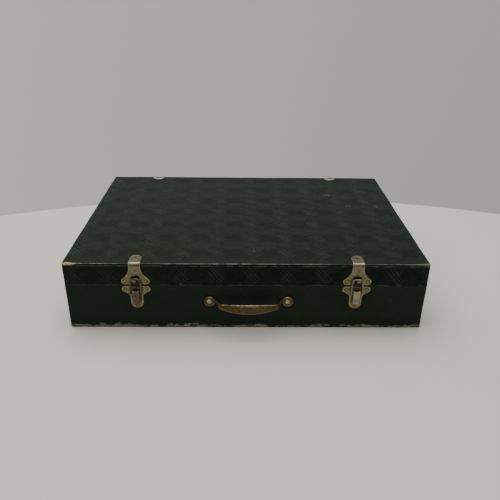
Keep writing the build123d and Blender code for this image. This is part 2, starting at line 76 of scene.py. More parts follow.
HALF_W, HALF_D, TOP_Z = (float(c) for c in mm_box("lid_covering")[1])
BASE_RIM = float(mm_box("base_covering")[1][2])
LID_RIM = float(mm_box("lid_covering")[0][2])
FRONT_Y = -HALF_D
CLOTH_T = TOP_Z - mm_box("lid_top_panel")[1][2]
LATCH_X = float(middle_x("right_catch_plate"))


# Small mesh tools. A part is (vertices, faces), in millimetres.
# A vertex may carry its wear as a fourth number; its bright values stand for rubbed metal and for painted
# highlight on rims and rolls.


def joined(*parts):
    """One part from several."""
    verts, faces = [], []
    for part_verts, part_faces in parts:
        start = len(verts)
        verts.extend(part_verts)
        faces.extend([tuple(i + start for i in f) for f in part_faces])
    return verts, faces


def moved(part, x):
    """Part shifted across the case by x millimetres."""
    verts, faces = part
    return [(v[0] + x, *v[1:]) for v in verts], faces


def with_wear_and_highlight(part, wear):
    """Part whose points carry wear and painted highlight, from 1 for bright (rubbed, and painted highlight)
    to -1 for rusty.
    """
    verts, faces = part
    return [(*v[:3], wear(Vector(v[:3]))) for v in verts], faces


def sheet_part(outer, inner):
    """Closed part between two grids of points of the same shape."""
    rows, columns, parts = outer.shape
    verts = [tuple(p) for grid in (outer, inner) for p in grid.reshape(-1, parts)]
    half = rows * columns
    faces = []
    for r in range(rows - 1):
        for c in range(columns - 1):
            a, b = r * columns + c, r * columns + c + 1
            d, e = a + columns, b + columns
            faces.append((a, b, e, d))
            faces.append((half + a, half + d, half + e, half + b))
    for r in range(rows - 1):
        for c in (0, columns - 1):
            a, b = r * columns + c, (r + 1) * columns + c
            faces.append((a, b, half + b, half + a))
    for c in range(columns - 1):
        for r in (0, rows - 1):
            a, b = r * columns + c, r * columns + c + 1
            faces.append((a, b, half + b, half + a))
    return verts, faces


def loft_part(loops):
    """Closed part through equal loops of points, capped at both ends."""
    count = len(loops[0])
    verts = [tuple(p) for loop in loops for p in loop]
    faces = []
    for k in range(len(loops) - 1):
        for i in range(count):
            j = (i + 1) % count
            faces.append((k * count + i, k * count + j, (k + 1) * count + j, (k + 1) * count + i))
    faces.append(tuple(range(count)))
    faces.append(tuple(range((len(loops) - 1) * count, len(loops) * count)))
    return verts, faces


def ring_points(profile, place, segments):
    """Points of one ring about local Z for each (radius, height) of a profile."""
    turns = [math.tau * k / segments for k in range(segments)]
    points = [Vector((r * math.cos(a), r * math.sin(a), h)) for r, h in profile for a in turns]
    return [tuple(place @ p) for p in points]


def turned_part(profile, place, segments=28):
    """Part turned about local Z from (radius, height) points that start and end on the axis."""
    first, end = (tuple(place @ Vector((0, 0, profile[k][1]))) for k in (0, -1))
    verts = [first, *ring_points(profile[1:-1], place, segments), end]
    last = 1 + (len(profile) - 3) * segments
    faces = []
    for k in range(segments):
        j = (k + 1) % segments
        faces.append((0, 1 + j, 1 + k))
        for a in range(1, last, segments):
            faces.append((a + k, a + j, a + segments + j, a + segments + k))
        faces.append((last + k, last + j, len(verts) - 1))
    return verts, faces


def ring_part(profile, place, segments=28):
    """Closed ring turned about local Z from a closed (radius, height) outline."""
    verts = ring_points(profile, place, segments)
    faces = []
    for r in range(len(profile)):
        start, end = r * segments, (r + 1) % len(profile) * segments
        for k in range(segments):
            j = (k + 1) % segments
            faces.append((start + k, start + j, end + j, end + k))
    return verts, faces


def tube_part(points, radius, sides=14):
    """Round tube along points, capped at both ends; radius(share) may change along it."""
    pts = [Vector(p) for p in points]
    loops = []
    side = None
    for i, point in enumerate(pts):
        ahead = pts[min(i + 1, len(pts) - 1)] - pts[max(i - 1, 0)]
        ahead.normalize()
        if side is None:
            side = ahead.orthogonal().normalized()
        side = (side - ahead * side.dot(ahead)).normalized()
        other = ahead.cross(side)
        r = float(radius(i / (len(pts) - 1)))
        angles = [math.tau * k / sides for k in range(sides)]
        loops.append([point + r * (math.cos(a) * side + math.sin(a) * other) for a in angles])
    return loft_part(loops)


def smooth_line(points, rounds=3):
    """Points of an open line after rounding its corners."""
    pts = [np.array(p, float) for p in points]
    for _ in range(rounds):
        cut = [pts[0]]
        for a, b in zip(pts, pts[1:]):
            cut.append(a * 0.75 + b * 0.25)
            cut.append(a * 0.25 + b * 0.75)
        cut.append(pts[-1])
        pts = cut
    return [tuple(p) for p in pts]


def facing(x, y, z, out):
    """Matrix at a point, in millimetres, with local Z along out."""
    turn = Vector(out).to_track_quat("Z", "Y").to_matrix().to_4x4()
    return Matrix.Translation((x, y, z)) @ turn


def wobble(x, y, z, size, seed):
    """Smooth noise from -1 to 1 that changes over about size millimetres."""
    return noise.noise(Vector((x / size + seed, y / size - seed, z / size + 2 * seed)))


def hump(distance, width):
    """1 at no distance, falling away over width."""
    return math.exp(-((distance / width) ** 2))


def round_off(edge, reach):
    """0 at an edge and 1 from reach inwards, along a quarter circle."""
    return math.sqrt(max(0.0, 1 - (1 - min(edge / reach, 1.0)) ** 2))


# Pieces


def finished(mesh, material, body, replaced, sharp, weld=True):
    """Blender object from a mesh, smooth but for its sharp edges, riding on a body."""
    work = bmesh.new()
    work.from_mesh(mesh)
    if weld:
        bmesh.ops.remove_doubles(work, verts=work.verts, dist=1e-7)
    bmesh.ops.recalc_face_normals(work, faces=work.faces)
    work.to_mesh(mesh)
    work.free()
    mesh.polygons.foreach_set("use_smooth", [True] * len(mesh.polygons))
    mesh.set_sharp_from_angle(angle=math.radians(sharp))
    mesh.materials.append(material)
    obj = bpy.data.objects.new(mesh.name, mesh)
    COLLECTION.objects.link(obj)
    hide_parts(*replaced)
    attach(obj, body)
    return obj


def piece(name, part, material, body, replaced, sharp=50):
    """Blender object from a part in millimetres, riding on a body."""
    verts, faces = part
    mesh = bpy.data.meshes.new(name)
    mesh.from_pydata([tuple(c * MM for c in v[:3]) for v in verts], [], faces)
    wear = mesh.attributes.new("wear", "FLOAT", "POINT")
    wear.data.foreach_set("value", [v[3] if len(v) > 3 else 0.0 for v in verts])
    return finished(mesh, material, body, replaced, sharp)


# Node materials


class Value:
    """A node's output that adds, subtracts and multiplies like a number."""

    def __init__(self, shader, socket):
        self.shader = shader
        self.socket = socket

    def __add__(self, other):
        return self.shader.math("ADD", self, other)

    def __sub__(self, other):
        return self.shader.math("SUBTRACT", self, other)

    def __rsub__(self, other):
        return self.shader.math("SUBTRACT", other, self)

    def __mul__(self, other):
        return self.shader.math("MULTIPLY", self, other)


class Shader:
    """A Principled material whose node sums are written as sums. Lengths are in millimetres."""

    def __init__(self, name, metallic=0.0, **sockets):
        self.material = bpy.data.materials.new(name)
        self.material.use_nodes = True
        self.tree = self.material.node_tree
        self.bsdf = self.tree.nodes["Principled BSDF"]
        self.bsdf.inputs["Metallic"].default_value = metallic
        for key, value in sockets.items():
            self.bsdf.inputs[key.replace("_", " ")].default_value = value
        self.position = None

    def node(self, kind, **settings):
        made = self.tree.nodes.new(kind)
        for key, value in settings.items():
            setattr(made, key, value)
        return made

    def feed(self, socket, value):
        value = getattr(value, "socket", value)
        if isinstance(value, bpy.types.NodeSocket):
            self.tree.links.new(value, socket)
        elif value is not None:
            socket.default_value = value

    def math(self, operation, a, b=None, c=None):
        made = self.node("ShaderNodeMath", operation=operation)
        for socket, value in zip(made.inputs, (a, b, c)):
            self.feed(socket, value)
        return Value(self, made.outputs[0])

    def low(self, a, b):
        return self.math("MINIMUM", a, b)

    def high(self, a, b):
        return self.math("MAXIMUM", a, b)

    def size(self, a):
        return self.math("ABSOLUTE", a)

    def wrap(self, a, half):
        return self.math("WRAP", a, half, -half)

    def wave(self, a, period):
        return self.math("COSINE", a * (math.tau / period))

    def step(self, value, start, end):
        """0 at start and 1 at end, smoothly; start may be above end."""
        made = self.node("ShaderNodeMapRange", interpolation_type="SMOOTHSTEP")
        self.feed(made.inputs["Value"], value)
        made.inputs["From Min"].default_value = min(start, end)
        made.inputs["From Max"].default_value = max(start, end)
        made.inputs["To Min"].default_value = 0.0 if start < end else 1.0
        made.inputs["To Max"].default_value = 1.0 if start < end else 0.0
        return Value(self, made.outputs["Result"])

    def band(self, value, middle, reach, core):
        """1 within core of the middle value, fading to 0 at reach."""
        return self.step(self.size(value - middle), reach, core)

    def place(self):
        """Object position."""
        if self.position is None:
            coords = self.node("ShaderNodeTexCoord")
            scaled = self.node("ShaderNodeVectorMath", operation="SCALE")
            self.tree.links.new(coords.outputs["Object"], scaled.inputs[0])
            scaled.inputs["Scale"].default_value = 1 / MM
            self.position = scaled.outputs[0]
        return self.position

    def with_vector(self, operation, vector, x, y, z, output="Vector"):
        made = self.node("ShaderNodeVectorMath", operation=operation)
        self.feed(made.inputs[0], vector)
        made.inputs[1].default_value = (x, y, z)
        return made.outputs[output]

    def stretched(self, vector, x, y, z):
        return self.with_vector("MULTIPLY", vector, x, y, z)

    def distance(self, x, y, z):
        """Distance from a point."""
        return Value(self, self.with_vector("DISTANCE", self.place(), x, y, z, "Value"))

    def split(self, vector):
        made = self.node("ShaderNodeSeparateXYZ")
        self.feed(made.inputs[0], vector)
        return [Value(self, output) for output in made.outputs]

    def noise(self, size, detail=3.0, rough=0.5, vector=None, warp=0.0):
        """Noise from 0 to 1 with lumps of about a size."""
        made = self.node("ShaderNodeTexNoise")
        self.feed(made.inputs["Vector"], self.place() if vector is None else vector)
        made.inputs["Scale"].default_value = 1 / size
        made.inputs["Detail"].default_value = detail
        made.inputs["Roughness"].default_value = rough
        made.inputs["Distortion"].default_value = warp
        return Value(self, made.outputs[0])

    def mix(self, amount, a, b):
        made = self.node("ShaderNodeMix", data_type="RGBA")
        self.feed(made.inputs["Factor"], amount)
        self.feed(made.inputs[6], a)
        self.feed(made.inputs[7], b)
        return made.outputs[2]

    def finish(self, colour, roughness, height=None, depth=0.2):
        """Connects colour, roughness and a bump height."""
        self.feed(self.bsdf.inputs["Base Color"], colour)
        self.feed(self.bsdf.inputs["Roughness"], roughness)
        if height is not None:
            bump = self.node("ShaderNodeBump")
            bump.inputs["Distance"].default_value = depth * MM
            bump.inputs["Strength"].default_value = 1.0
            self.feed(bump.inputs["Height"], height)
            self.tree.links.new(bump.outputs["Normal"], self.bsdf.inputs["Normal"])
        return self.material


# Embossed book cloth: a lattice of short parallel strokes with crossing ones

PITCH = 39.9
STROKE_GAP = 3.5
STROKE_SPAN = 11.5
STROKE_DX, STROKE_DY = 0.63, 0.776
MOTIF_Y = FRONT_Y + 25.0
MOTIF_X_LID = 5.5
MOTIF_X_BASE = -4.5
CLOTH_DARK = (0.0038, 0.0075, 0.0042, 1)
CLOTH_GREEN = (0.0112, 0.0190, 0.0124, 1)
CLOTH_STROKE = (0.0300, 0.0440, 0.0320, 1)
CLOTH_BROWN = (0.0170, 0.0130, 0.0060, 1)
CLOTH_SHINE = 0.066
WORN_EDGE = (0.0400, 0.0440, 0.0340, 1)
PALE_GREY = (0.170, 0.175, 0.140, 1)
ARRIS = (0.300, 0.305, 0.240, 1)
LAP_LINE = (0.115, 0.130, 0.100, 1)
CREAM = (0.520, 0.450, 0.230, 1)
PALE_BOARD = (0.235, 0.250, 0.180, 1)
SCUFF_GREY = (0.4, 0.4, 0.4, 1)
RIVET_HALO_BROWN = (0.020, 0.011, 0.003, 1)
LAP = 2.8
FRAY_LOW = -3.4
SCUFFS = ((117.0, 67.0), (139.0, 26.0), (12.0, -109.0), (178.0, 26.0))


def strokes(s, u, v, span, lines):
    """Parallel strokes across a lattice cell and the gaps between them; u runs across and v along."""
    wave = s.wave(u + (0.0 if lines % 2 else STROKE_GAP / 2), STROKE_GAP)
    across = s.step(s.size(u), (lines / 2 + 0.1) * STROKE_GAP, (lines / 2 - 0.25) * STROKE_GAP)
    inside = across * s.step(s.size(v), span, span - 1.6)
    return s.step(wave, 0.25, 0.90) * inside, s.step(wave, -0.2, -0.9) * inside


def stroke_axes(u, v, sign):
    """Coordinates across and along strokes that lean to one side."""
    across = u * STROKE_DY + v * (sign * STROKE_DX)
    along = u * STROKE_DX - v * (sign * STROKE_DY)
    return across, along


def cloth_pattern(s, motif_x):
    """Strokes, light and dark patches, and gaps of the embossed lattice, from the cloth's flat map."""
    flat = s.node("ShaderNodeUVMap", uv_map="cloth").outputs[0]
    flat = s.stretched(flat, 1 / MM, 1 / MM, 0)
    x, y, _ = s.split(flat)
    shake = s.noise(7.0, 2.0, 0.6, flat)
    drift = s.noise(60.0, 1.0, 0.5, flat)
    x = x - motif_x + (shake - 0.5) * 1.9
    y = y - MOTIF_Y + (drift - 0.5) * 3.0
    cell_x, cell_y = s.wrap(x, PITCH / 2), s.wrap(y, PITCH / 2)
    half_y = s.wrap(y - PITCH / 2, PITCH / 2)

    main, main_gap = strokes(s, *stroke_axes(cell_x, cell_y, 1), STROKE_SPAN, 3)
    cross, _ = strokes(s, *stroke_axes(cell_x, cell_y, -1), STROKE_SPAN, 2)
    second, second_gap = strokes(s, *stroke_axes(cell_x, half_y, 1), 0.8 * STROKE_SPAN, 3)
    mask = s.high(s.high(main, cross * 0.55), second * 0.75)
    gaps = s.high(main_gap, second_gap * 0.75)
    broken = s.step(s.noise(4.5, 3.0, 0.65, flat), 0.32, 0.56)
    fade = s.step(s.noise(45.0, 2.0, 0.5, flat), 0.25, 0.60)
    kept = broken * (fade * 0.6 + 0.4)

    ragged_x = x + (s.noise(7.0, 4.0, 0.7, flat) - 0.5) * 34.0
    ragged_y = y + (s.noise(6.0, 4.0, 0.7, flat) - 0.5) * 34.0
    between = s.step(s.wave(ragged_x, PITCH), 0.4, -0.5)
    patch = between * (s.step(s.wave(ragged_y, PITCH), 0.45, -0.45) * 2.0 - 1.0)
    leaf = s.step(s.noise(5.5, 3.0, 0.6, s.stretched(flat, 0.7, 1.1, 1.0), 0.6), 0.44, 0.56)
    return mask * kept, patch + (leaf - 0.5) * 1.1, gaps * (kept * 0.6 + 0.4)


def tinted(colour, lift):
    """Colour made lighter or darker."""
    return tuple(c * lift for c in colour[:3]) + (1,)


def edge_wear(s, distance, reach, lump, seed):
    """1 on a worn edge, breaking up over reach."""
    shifted = s.with_vector("ADD", s.place(), seed, -seed, seed)
    limit = s.step(s.noise(lump, 4.0, 0.65, shifted), 0.36, 0.66) * reach
    return s.step(distance - limit, 0.25, -0.1)


def rivet_halo(s):
    """1 in the dark brown halo on the cloth round either foot of the handle."""
    low, high = mm_box("handle_rivets")
    foot_z = float(low[2] + high[2]) / 2
    stains = []
    for foot_x in (float(low[0]) + 3.4, float(high[0]) - 3.4):
        reach = s.distance(foot_x, FRONT_Y, foot_z - 0.8) - s.noise(5.0, 3.0, 0.6) * 5.0
        stains.append(s.step(reach, 8.5, 3.8))
    return s.high(*stains)


def latch_brown_tint(s, x, z, front):
    """1 in the brown tint on the cloth round either latch."""
    stains = []
    for node in ("left_catch_plate", "right_catch_plate"):
        near_x = s.size(x - float(middle_x(node)))
        stains.append(s.step(near_x + s.noise(6.0, 3.0, 0.6) * 14.0, 25.0, 17.0))
    close = s.step(front, 24.0, 18.0) * s.step(z, 24.0, 32.0)
    return s.high(*stains) * close


def lid_arris(s, colour, front, from_top):
    """Lid colour with its pale front arris and the dark and pale lines where the top cloth laps over."""
    on_front = (2.0, 1.0)
    line = s.step(s.high(from_top, front), 1.2, 0.6)
    line = line * (s.step(s.noise(8.0, 4.0, 0.7), 0.40, 0.55) * 0.70 + 0.28)
    colour = s.mix(line, colour, ARRIS)
    shadow = s.band(from_top, 0.6 * LAP, 0.6 * LAP, 0.3) * s.step(front, *on_front)
    colour = s.mix(shadow * 0.6, colour, CLOTH_DARK)
    lip = s.band(from_top, LAP + 0.3, 0.8, 0.3) * s.step(front, *on_front)
    lip = lip * s.step(s.noise(11.0, 4.0, 0.6, None, 0.5), 0.38, 0.58)
    return s.mix(lip * 0.8, colour, LAP_LINE)


def rubbed_corners(s, colour, front_edge, top):
    """Lid colour with its left front corner rubbed to cream and the right one dull."""
    left = s.distance(-HALF_W + 4.0, FRONT_Y, top)
    right = s.distance(HALF_W - 2.0, FRONT_Y, top)
    ragged = s.noise(5.0, 4.0, 0.6) * 22.0
    rubbed = s.step(left + front_edge * 7.0 - ragged, 14.0, 4.0)
    colour = s.mix(rubbed * 0.9, colour, CREAM)
    dull = s.step(right + front_edge * 5.0 - ragged, 8.0, 0.0)
    return s.mix(dull * 0.6, colour, PALE_GREY)


def scuffed(s, colour, top):
    """Lid colour with a few thin pale scuffs."""
    for scuff_x, scuff_y in SCUFFS:
        near = s.step(s.distance(scuff_x, scuff_y, top), 6.0, 2.0)
        thin = s.step(s.noise(2.2, 2.0, 0.5, None, 1.5), 0.60, 0.66)
        colour = s.mix(near * thin * 0.7, colour, SCUFF_GREY)
    return colour


def worn_lid(s, colour, worn, bare, sides, heights, front):
    """Lid colour and wear with worn edges, arris, chips, corners and scuffs."""
    from_top, from_low = heights
    front_edge = s.high(from_top, front)
    around = s.high(from_top, s.low(*sides))
    worn = s.high(worn, edge_wear(s, around, 0.8, 9.0, 11.0))
    colour = lid_arris(s, s.mix(worn * 0.75, colour, WORN_EDGE), front, from_top)
    pale = s.high(edge_wear(s, front_edge, 0.8, 16.0, 31.0) * 0.3, bare)
    chips = s.step(s.noise(5.0, 3.0, 0.6), 0.66, 0.72)
    pale = s.high(pale, chips * s.step(from_low, 1.8, 0.8))
    colour = s.mix(pale * 0.8, colour, PALE_BOARD)
    return scuffed(s, rubbed_corners(s, colour, front_edge, TOP_Z), TOP_Z), worn


def worn_base(s, colour, worn, bare, heights):
    """Base colour and wear with a painted highlight along the upper hem and a frayed lower edge."""
    from_top, from_low = heights
    worn = worn * 0.75
    colour = s.mix(worn, colour, WORN_EDGE)
    # Painted highlight: a pale line along the base's upper edge, broken in places.
    hem = s.step(from_top, 1.0, 0.4) * s.step(s.noise(16.0, 4.0, 0.6), 0.40, 0.65)
    colour = s.mix(hem * 0.45, colour, PALE_GREY)
    threads = s.noise(3.6, 5.0, 0.7, s.stretched(s.place(), 0.35, 0.35, 1.5), 0.6)
    reach = s.noise(18.0, 3.0, 0.65) * 14.0 + FRAY_LOW
    frayed = s.step(threads, 0.46, 0.53) * s.step(from_low - reach, 0.4, -0.4) * 0.85
    frayed = frayed * s.step(from_low, 0.3, 0.9)
    return s.mix(s.high(bare, frayed), colour, PALE_BOARD), s.high(worn, frayed)


def cloth_material(name, top, low, lid, motif_x, lift):
    """Dark green embossed book cloth, worn pale on its edges."""
    s = Shader(name, Specular_IOR_Level=CLOTH_SHINE)
    mask, patch, gaps = cloth_pattern(s, motif_x)
    x, y, z = s.split(s.place())
    sides = HALF_W - s.size(x), HALF_D - s.size(y)
    front = y + HALF_D
    heights = top - z, z - low

    grain = s.noise(0.9, 2.0, 0.6)
    cloud = s.noise(28.0, 4.0, 0.6)
    mottle = s.noise(6.0, 4.0, 0.65)
    # face is 1 on the front faces: the lid's front is given a lighter tone and the strokes on both fronts
    # more contrast, painted light on the upright faces.
    face = s.step(front, 3.0, 1.0)
    if lid:
        tone = patch * 0.16 + (cloud * 0.42 + mottle * 0.48) + face * 0.10
    else:
        tone = patch * 0.03 + (cloud * 0.22 + mottle * 0.22) + 0.27
        faint = s.step(s.noise(38.0, 1.0, 0.5), 0.50, 0.62) * 0.30 + 0.03
        mask, gaps = mask * faint, gaps * faint
    # lift brightens the whole cloth: painted light, much stronger on the base cloth.
    colour = s.mix(s.step(tone, 0.10, 0.95), tinted(CLOTH_DARK, lift), tinted(CLOTH_GREEN, lift))
    colour = s.mix(gaps * 0.55, colour, CLOTH_DARK)
    colour = s.mix(mask * (face * 0.20 + 0.62), colour, tinted(CLOTH_STROKE, lift))
    warm = s.step(s.noise(60.0, 2.0, 0.5), 0.55, 0.75)
    colour = s.mix(warm * 0.22, colour, CLOTH_BROWN)

    corner_edge = s.high(*sides)
    worn = edge_wear(s, corner_edge, 1.8, 7.0, 3.0)
    bare = s.step(corner_edge, 1.4, 0.7) * s.step(s.noise(4.0, 4.0, 0.7), 0.54, 0.60)
    if lid:
        colour, worn = worn_lid(s, colour, worn, bare, sides, heights, front)
    else:
        colour, worn = worn_base(s, colour, worn, bare, heights)
    colour = s.mix(latch_brown_tint(s, x, z, front) * 0.30, colour, CLOTH_BROWN)
    if not lid:
        colour = s.mix(rivet_halo(s) * 0.8, colour, RIVET_HALO_BROWN)

    height = mask * 1.1 + patch * 0.12 - gaps * 0.6 + grain * 0.35
    height = height + s.noise(12.0, 3.0, 0.6) * 0.9 - worn * 0.5
    rough = grain * 0.16 + (cloud * 0.14 + 0.27) + worn * 0.3 - mask * 0.05
    return s.finish(colour, rough, height, 0.22)


# Metals, woods, felt and glass

METALLIC = 0.6
# Near-black brown used as painted shade on the metal: behind the latches, under the fold and on the tabs'
# nail heads.
SHADE_BROWN = (0.012, 0.007, 0.003, 1)
TAB_DULL = (0.100, 0.091, 0.060, 1)
FOLD_HIGHLIGHT = (0.40, 0.37, 0.28, 1)

# name: rubbed colour, dull colour, rust colour, share of rust, roughness
METALS = {
    "plate_metal": ((0.245, 0.224, 0.130), (0.148, 0.125, 0.057), (0.040, 0.022, 0.008), 0.32, 0.40),
    "loop_brown": ((0.170, 0.125, 0.070), (0.085, 0.058, 0.028), (0.030, 0.017, 0.006), 0.35, 0.40),
    "loop_tan": ((0.270, 0.230, 0.140), (0.160, 0.125, 0.065), (0.050, 0.030, 0.010), 0.25, 0.40),
    "hinge_metal": ((0.300, 0.280, 0.220), (0.200, 0.180, 0.130), (0.060, 0.040, 0.016), 0.15, 0.40),
    "lever_copper": ((0.150, 0.098, 0.055), (0.090, 0.058, 0.028), (0.040, 0.018, 0.008), 0.30, 0.40),
    "lever_tan": ((0.350, 0.295, 0.190), (0.240, 0.190, 0.115), (0.070, 0.035, 0.015), 0.15, 0.40),
    "handle_metal": ((0.100, 0.070, 0.019), (0.055, 0.034, 0.009), (0.020, 0.010, 0.004), 0.35, 0.40),
    "handle_rim_metal": ((0.270, 0.215, 0.125), (0.130, 0.092, 0.042), (0.050, 0.028, 0.014), 0.35, 0.28),
    "nail_metal": ((0.270, 0.240, 0.170), (0.170, 0.145, 0.090), (0.050, 0.030, 0.012), 0.25, 0.40),
    "rivet_metal": ((0.460, 0.420, 0.290), (0.270, 0.230, 0.130), (0.090, 0.050, 0.020), 0.22, 0.40),
}


def latch_painted_shade(s):
    """1 in the painted shade on the plate behind the hook, the wire loop and the lever of either latch, and
    in the gap between hook and lever.
    """
    x, y, z = s.split(s.place())
    across = s.size(s.size(x) - LATCH_X) + s.noise(2.5, 2.0, 0.5) * 1.5
    upper = s.step(across, 6.2, 4.4) * (s.step(z, 70.0, 67.5) * s.step(z, 57.0, 58.5))
    lower = s.step(across, 6.2, 5.0) * (s.step(z, 51.4, 50.6) * s.step(z, 31.0, 34.5))
    lower = s.high(lower, s.step(across, 6.2, 5.0) * s.band(z, 55.4, 1.4, 0.8))
    near_face = s.step(y, FRONT_Y - 6.0, FRONT_Y - 3.5)
    return s.high(upper * 0.92, lower * 0.6) * near_face


def folded_edge(s, colour):
    """Colour of the catch plates on the lid's top: duller, with a painted highlight on the fold and painted
    shade just below it.
    """
    _, y, z = s.split(s.place())
    in_front = s.step(y, 0.0, -1.0)
    on_top = s.step(z, TOP_Z - 0.6, TOP_Z + 0.1) * s.step(y, FRONT_Y + 1.6, FRONT_Y + 2.4)
    colour = s.mix(on_top * in_front * 0.85, colour, TAB_DULL)
    # Painted highlight along the fold over the lid's edge.
    fold = s.band(y, FRONT_Y + 0.5, 0.9, 0.4) * s.step(z, TOP_Z - 1.3, TOP_Z - 0.7)
    colour = s.mix(fold * 0.8, colour, FOLD_HIGHLIGHT)
    # Painted shade in a thin band just below the fold.
    below = s.band(z, TOP_Z - 2.5, 0.8, 0.3) * s.step(y, FRONT_Y + 1.0, FRONT_Y + 0.2)
    return s.mix(below * 0.6, colour, SHADE_BROWN)


def dark_top_nail(s, colour):
    """Nail colour with the heads on the catch plates' tabs painted nearly black: painted shade for the dark
    holes there.
    """
    _, y, z = s.split(s.place())
    on_tab = s.step(z, TOP_Z - 0.8, TOP_Z - 0.2) * s.step(y, 0.0, -1.0)
    return s.mix(on_tab * 0.85, colour, SHADE_BROWN)


def aged_metal(name, bright, dull, rust, rust_share, roughness):
    """Old plated sheet: bright where rubbed, brown in blotches."""
    bright, dull, rust = ((*c, 1) for c in (bright, dull, rust))
    s = Shader(name, metallic=METALLIC)
    blotch = s.noise(3.2, 5.0, 0.62)
    speck = s.noise(0.9, 4.0, 0.7)
    cloud = s.noise(11.0, 2.0, 0.5)
    colour = s.mix(s.step(blotch, 0.35, 0.65), bright, dull)
    least = 0.68 - 0.35 * rust_share
    rusty = s.step(speck * 0.55 + cloud * 0.45, least, 0.80 - 0.35 * rust_share)
    colour = s.mix(rusty * 0.9, colour, rust)
    wear = s.node("ShaderNodeAttribute", attribute_name="wear").outputs["Fac"]
    # High wear values are painted bright: rubbed metal, and painted highlight on plate rims, lever edges,
    # the lever's roll and the handle's top rim.
    rubbed = s.step(wear, 0.25, 0.9) * s.step(s.noise(2.4, 3.0, 0.6), 0.30, 0.55)
    colour = s.mix(rubbed * 0.6, colour, tinted(bright, 1.6))
    colour = s.mix(s.step(wear, -0.1, -0.7) * 0.8, colour, rust)
    if name == "plate_metal":
        # Painted shade darkens the plate behind each latch's hook, loop and lever.
        colour = folded_edge(s, s.mix(latch_painted_shade(s), colour, SHADE_BROWN))
    if name == "nail_metal":
        colour = dark_top_nail(s, colour)
    scratch = s.noise(1.0, 2.0, 0.5, s.stretched(s.place(), 0.35, 1.0, 5.0))
    rough = rusty * 0.35 + (scratch * 0.15 + (roughness - 0.06))
    height = speck * 0.5 + (scratch * 0.25 + blotch * 0.5)
    return s.finish(colour, rough, height, 0.07)


def wood(name, light, dark, along, ring=7.0, roughness=0.5, stained=True):
    """Wood with its grain along X or Y; stained wood is dark where it shows through the case's seams."""
    s = Shader(name)
    stretch = [1.0, 1.0, 1.0]
    stretch["XYZ".index(along)] = 0.07
    fibre_place = s.stretched(s.place(), *stretch)
    bands = s.noise(ring, 3.0, 0.55, fibre_place, 1.2)
    fibre = s.noise(0.7, 3.0, 0.6, fibre_place)
    rings = s.math("PINGPONG", bands * 6.0, 1.0)
    colour = s.mix(rings * 0.55 + fibre * 0.45, light, dark)
    pores = s.step(s.noise(0.45, 2.0, 0.5, fibre_place), 0.62, 0.70)
    colour = s.mix(pores * 0.5, colour, dark)
    if stained:
        x, y, _ = s.split(s.place())
        rim = s.low(HALF_W - s.size(x), HALF_D - s.size(y))
        dirty = rim + s.noise(8.0, 3.0, 0.6) * 1.5
        colour = s.mix(s.step(dirty, 3.6, 2.4) * 0.95, colour, CLOTH_DARK)
    rough = fibre * 0.2 + (roughness - 0.1)
    height = fibre * 0.5 - pores * 0.6
    return s.finish(colour, rough, height, 0.12)


def felt_material():
    """Dark red pressed felt."""
    s = Shader("felt", Sheen_Weight=0.25, Sheen_Roughness=0.5)
    fuzz = s.noise(0.5, 4.0, 0.7)
    matted = s.noise(9.0, 3.0, 0.6)
    fibre = s.noise(1.2, 3.0, 0.6, s.stretched(s.place(), 1.0, 0.25, 1.0), 2.0)
    tone = s.step(fuzz * 0.5 + matted * 0.5, 0.30, 0.70)
    colour = s.mix(tone, (0.060, 0.009, 0.009, 1), (0.135, 0.022, 0.020, 1))
    colour = s.mix(fibre * 0.25, colour, (0.17, 0.04, 0.035, 1))
    return s.finish(colour, fuzz * 0.1 + 0.86, fuzz * 0.6 + fibre * 0.6, 0.35)


STONE_COLOURS = [
    (0.00, (0.03, 0.16, 0.30, 1)),
    (0.27, (0.05, 0.26, 0.12, 1)),
    (0.52, (0.42, 0.22, 0.03, 1)),
    (0.77, (0.33, 0.36, 0.38, 1)),
]


def glass_material():
    """Coloured glass stones, each of one colour out of four."""
    s = Shader("seed_glass", Transmission_Weight=0.55, IOR=1.5, Coat_Weight=0.4)
    picked = s.node("ShaderNodeValToRGB")
    picked.color_ramp.interpolation = "CONSTANT"
    elements = picked.color_ramp.elements
    while len(elements) < len(STONE_COLOURS):
        elements.new(0.5)
    for element, (where, colour) in zip(elements, STONE_COLOURS):
        element.position = where
        element.color = colour
    s.feed(picked.inputs[0], s.node("ShaderNodeNewGeometry").outputs["Random Per Island"])
    swirl = s.noise(4.0, 3.0, 0.5, None, 2.5)
    milky = s.step(swirl, 0.45, 0.70) * 0.5
    colour = s.mix(milky, picked.outputs["Color"], (0.75, 0.78, 0.76, 1))
    return s.finish(colour, swirl * 0.08 + 0.04, s.noise(3.0, 1.0, 0.5), 0.05)


def floor_material():
    """Pale matt table top."""
    s = Shader("table_top")
    cloud = s.noise(260.0, 3.0, 0.5)
    fine = s.noise(14.0, 3.0, 0.6)
    tone = cloud * 0.7 + fine * 0.3
    colour = s.mix(tone, (0.60, 0.575, 0.53, 1), (0.68, 0.655, 0.605, 1))
    return s.finish(colour, fine * 0.15 + 0.5, fine, 0.1)


# The last number lifts each cloth's colours: painted light, much higher for the base, whose upright faces
# get less of the overhead lamp than the lid's top.
LID_CLOTH = cloth_material("lid_cloth", TOP_Z, LID_RIM, True, MOTIF_X_LID, 1.15)
BASE_CLOTH = cloth_material("base_cloth", BASE_RIM, 0.0, False, MOTIF_X_BASE, 1.9)
METAL = {name: aged_metal(name, *row) for name, row in METALS.items()}
CASE_WOOD = {
    axis: wood(f"case_wood_{axis.lower()}", (0.50, 0.36, 0.20, 1), (0.33, 0.21, 0.10, 1), axis)
    for axis in "XY"
}
BOARD_WOOD = wood("board_wood", (0.300, 0.140, 0.055, 1), (0.120, 0.045, 0.017, 1), "X", 11.0, 0.34, False)
FELT = felt_material()
GLASS = glass_material()


# Cloth coverings

EDGE_R = 2.2
GRID = 2.6


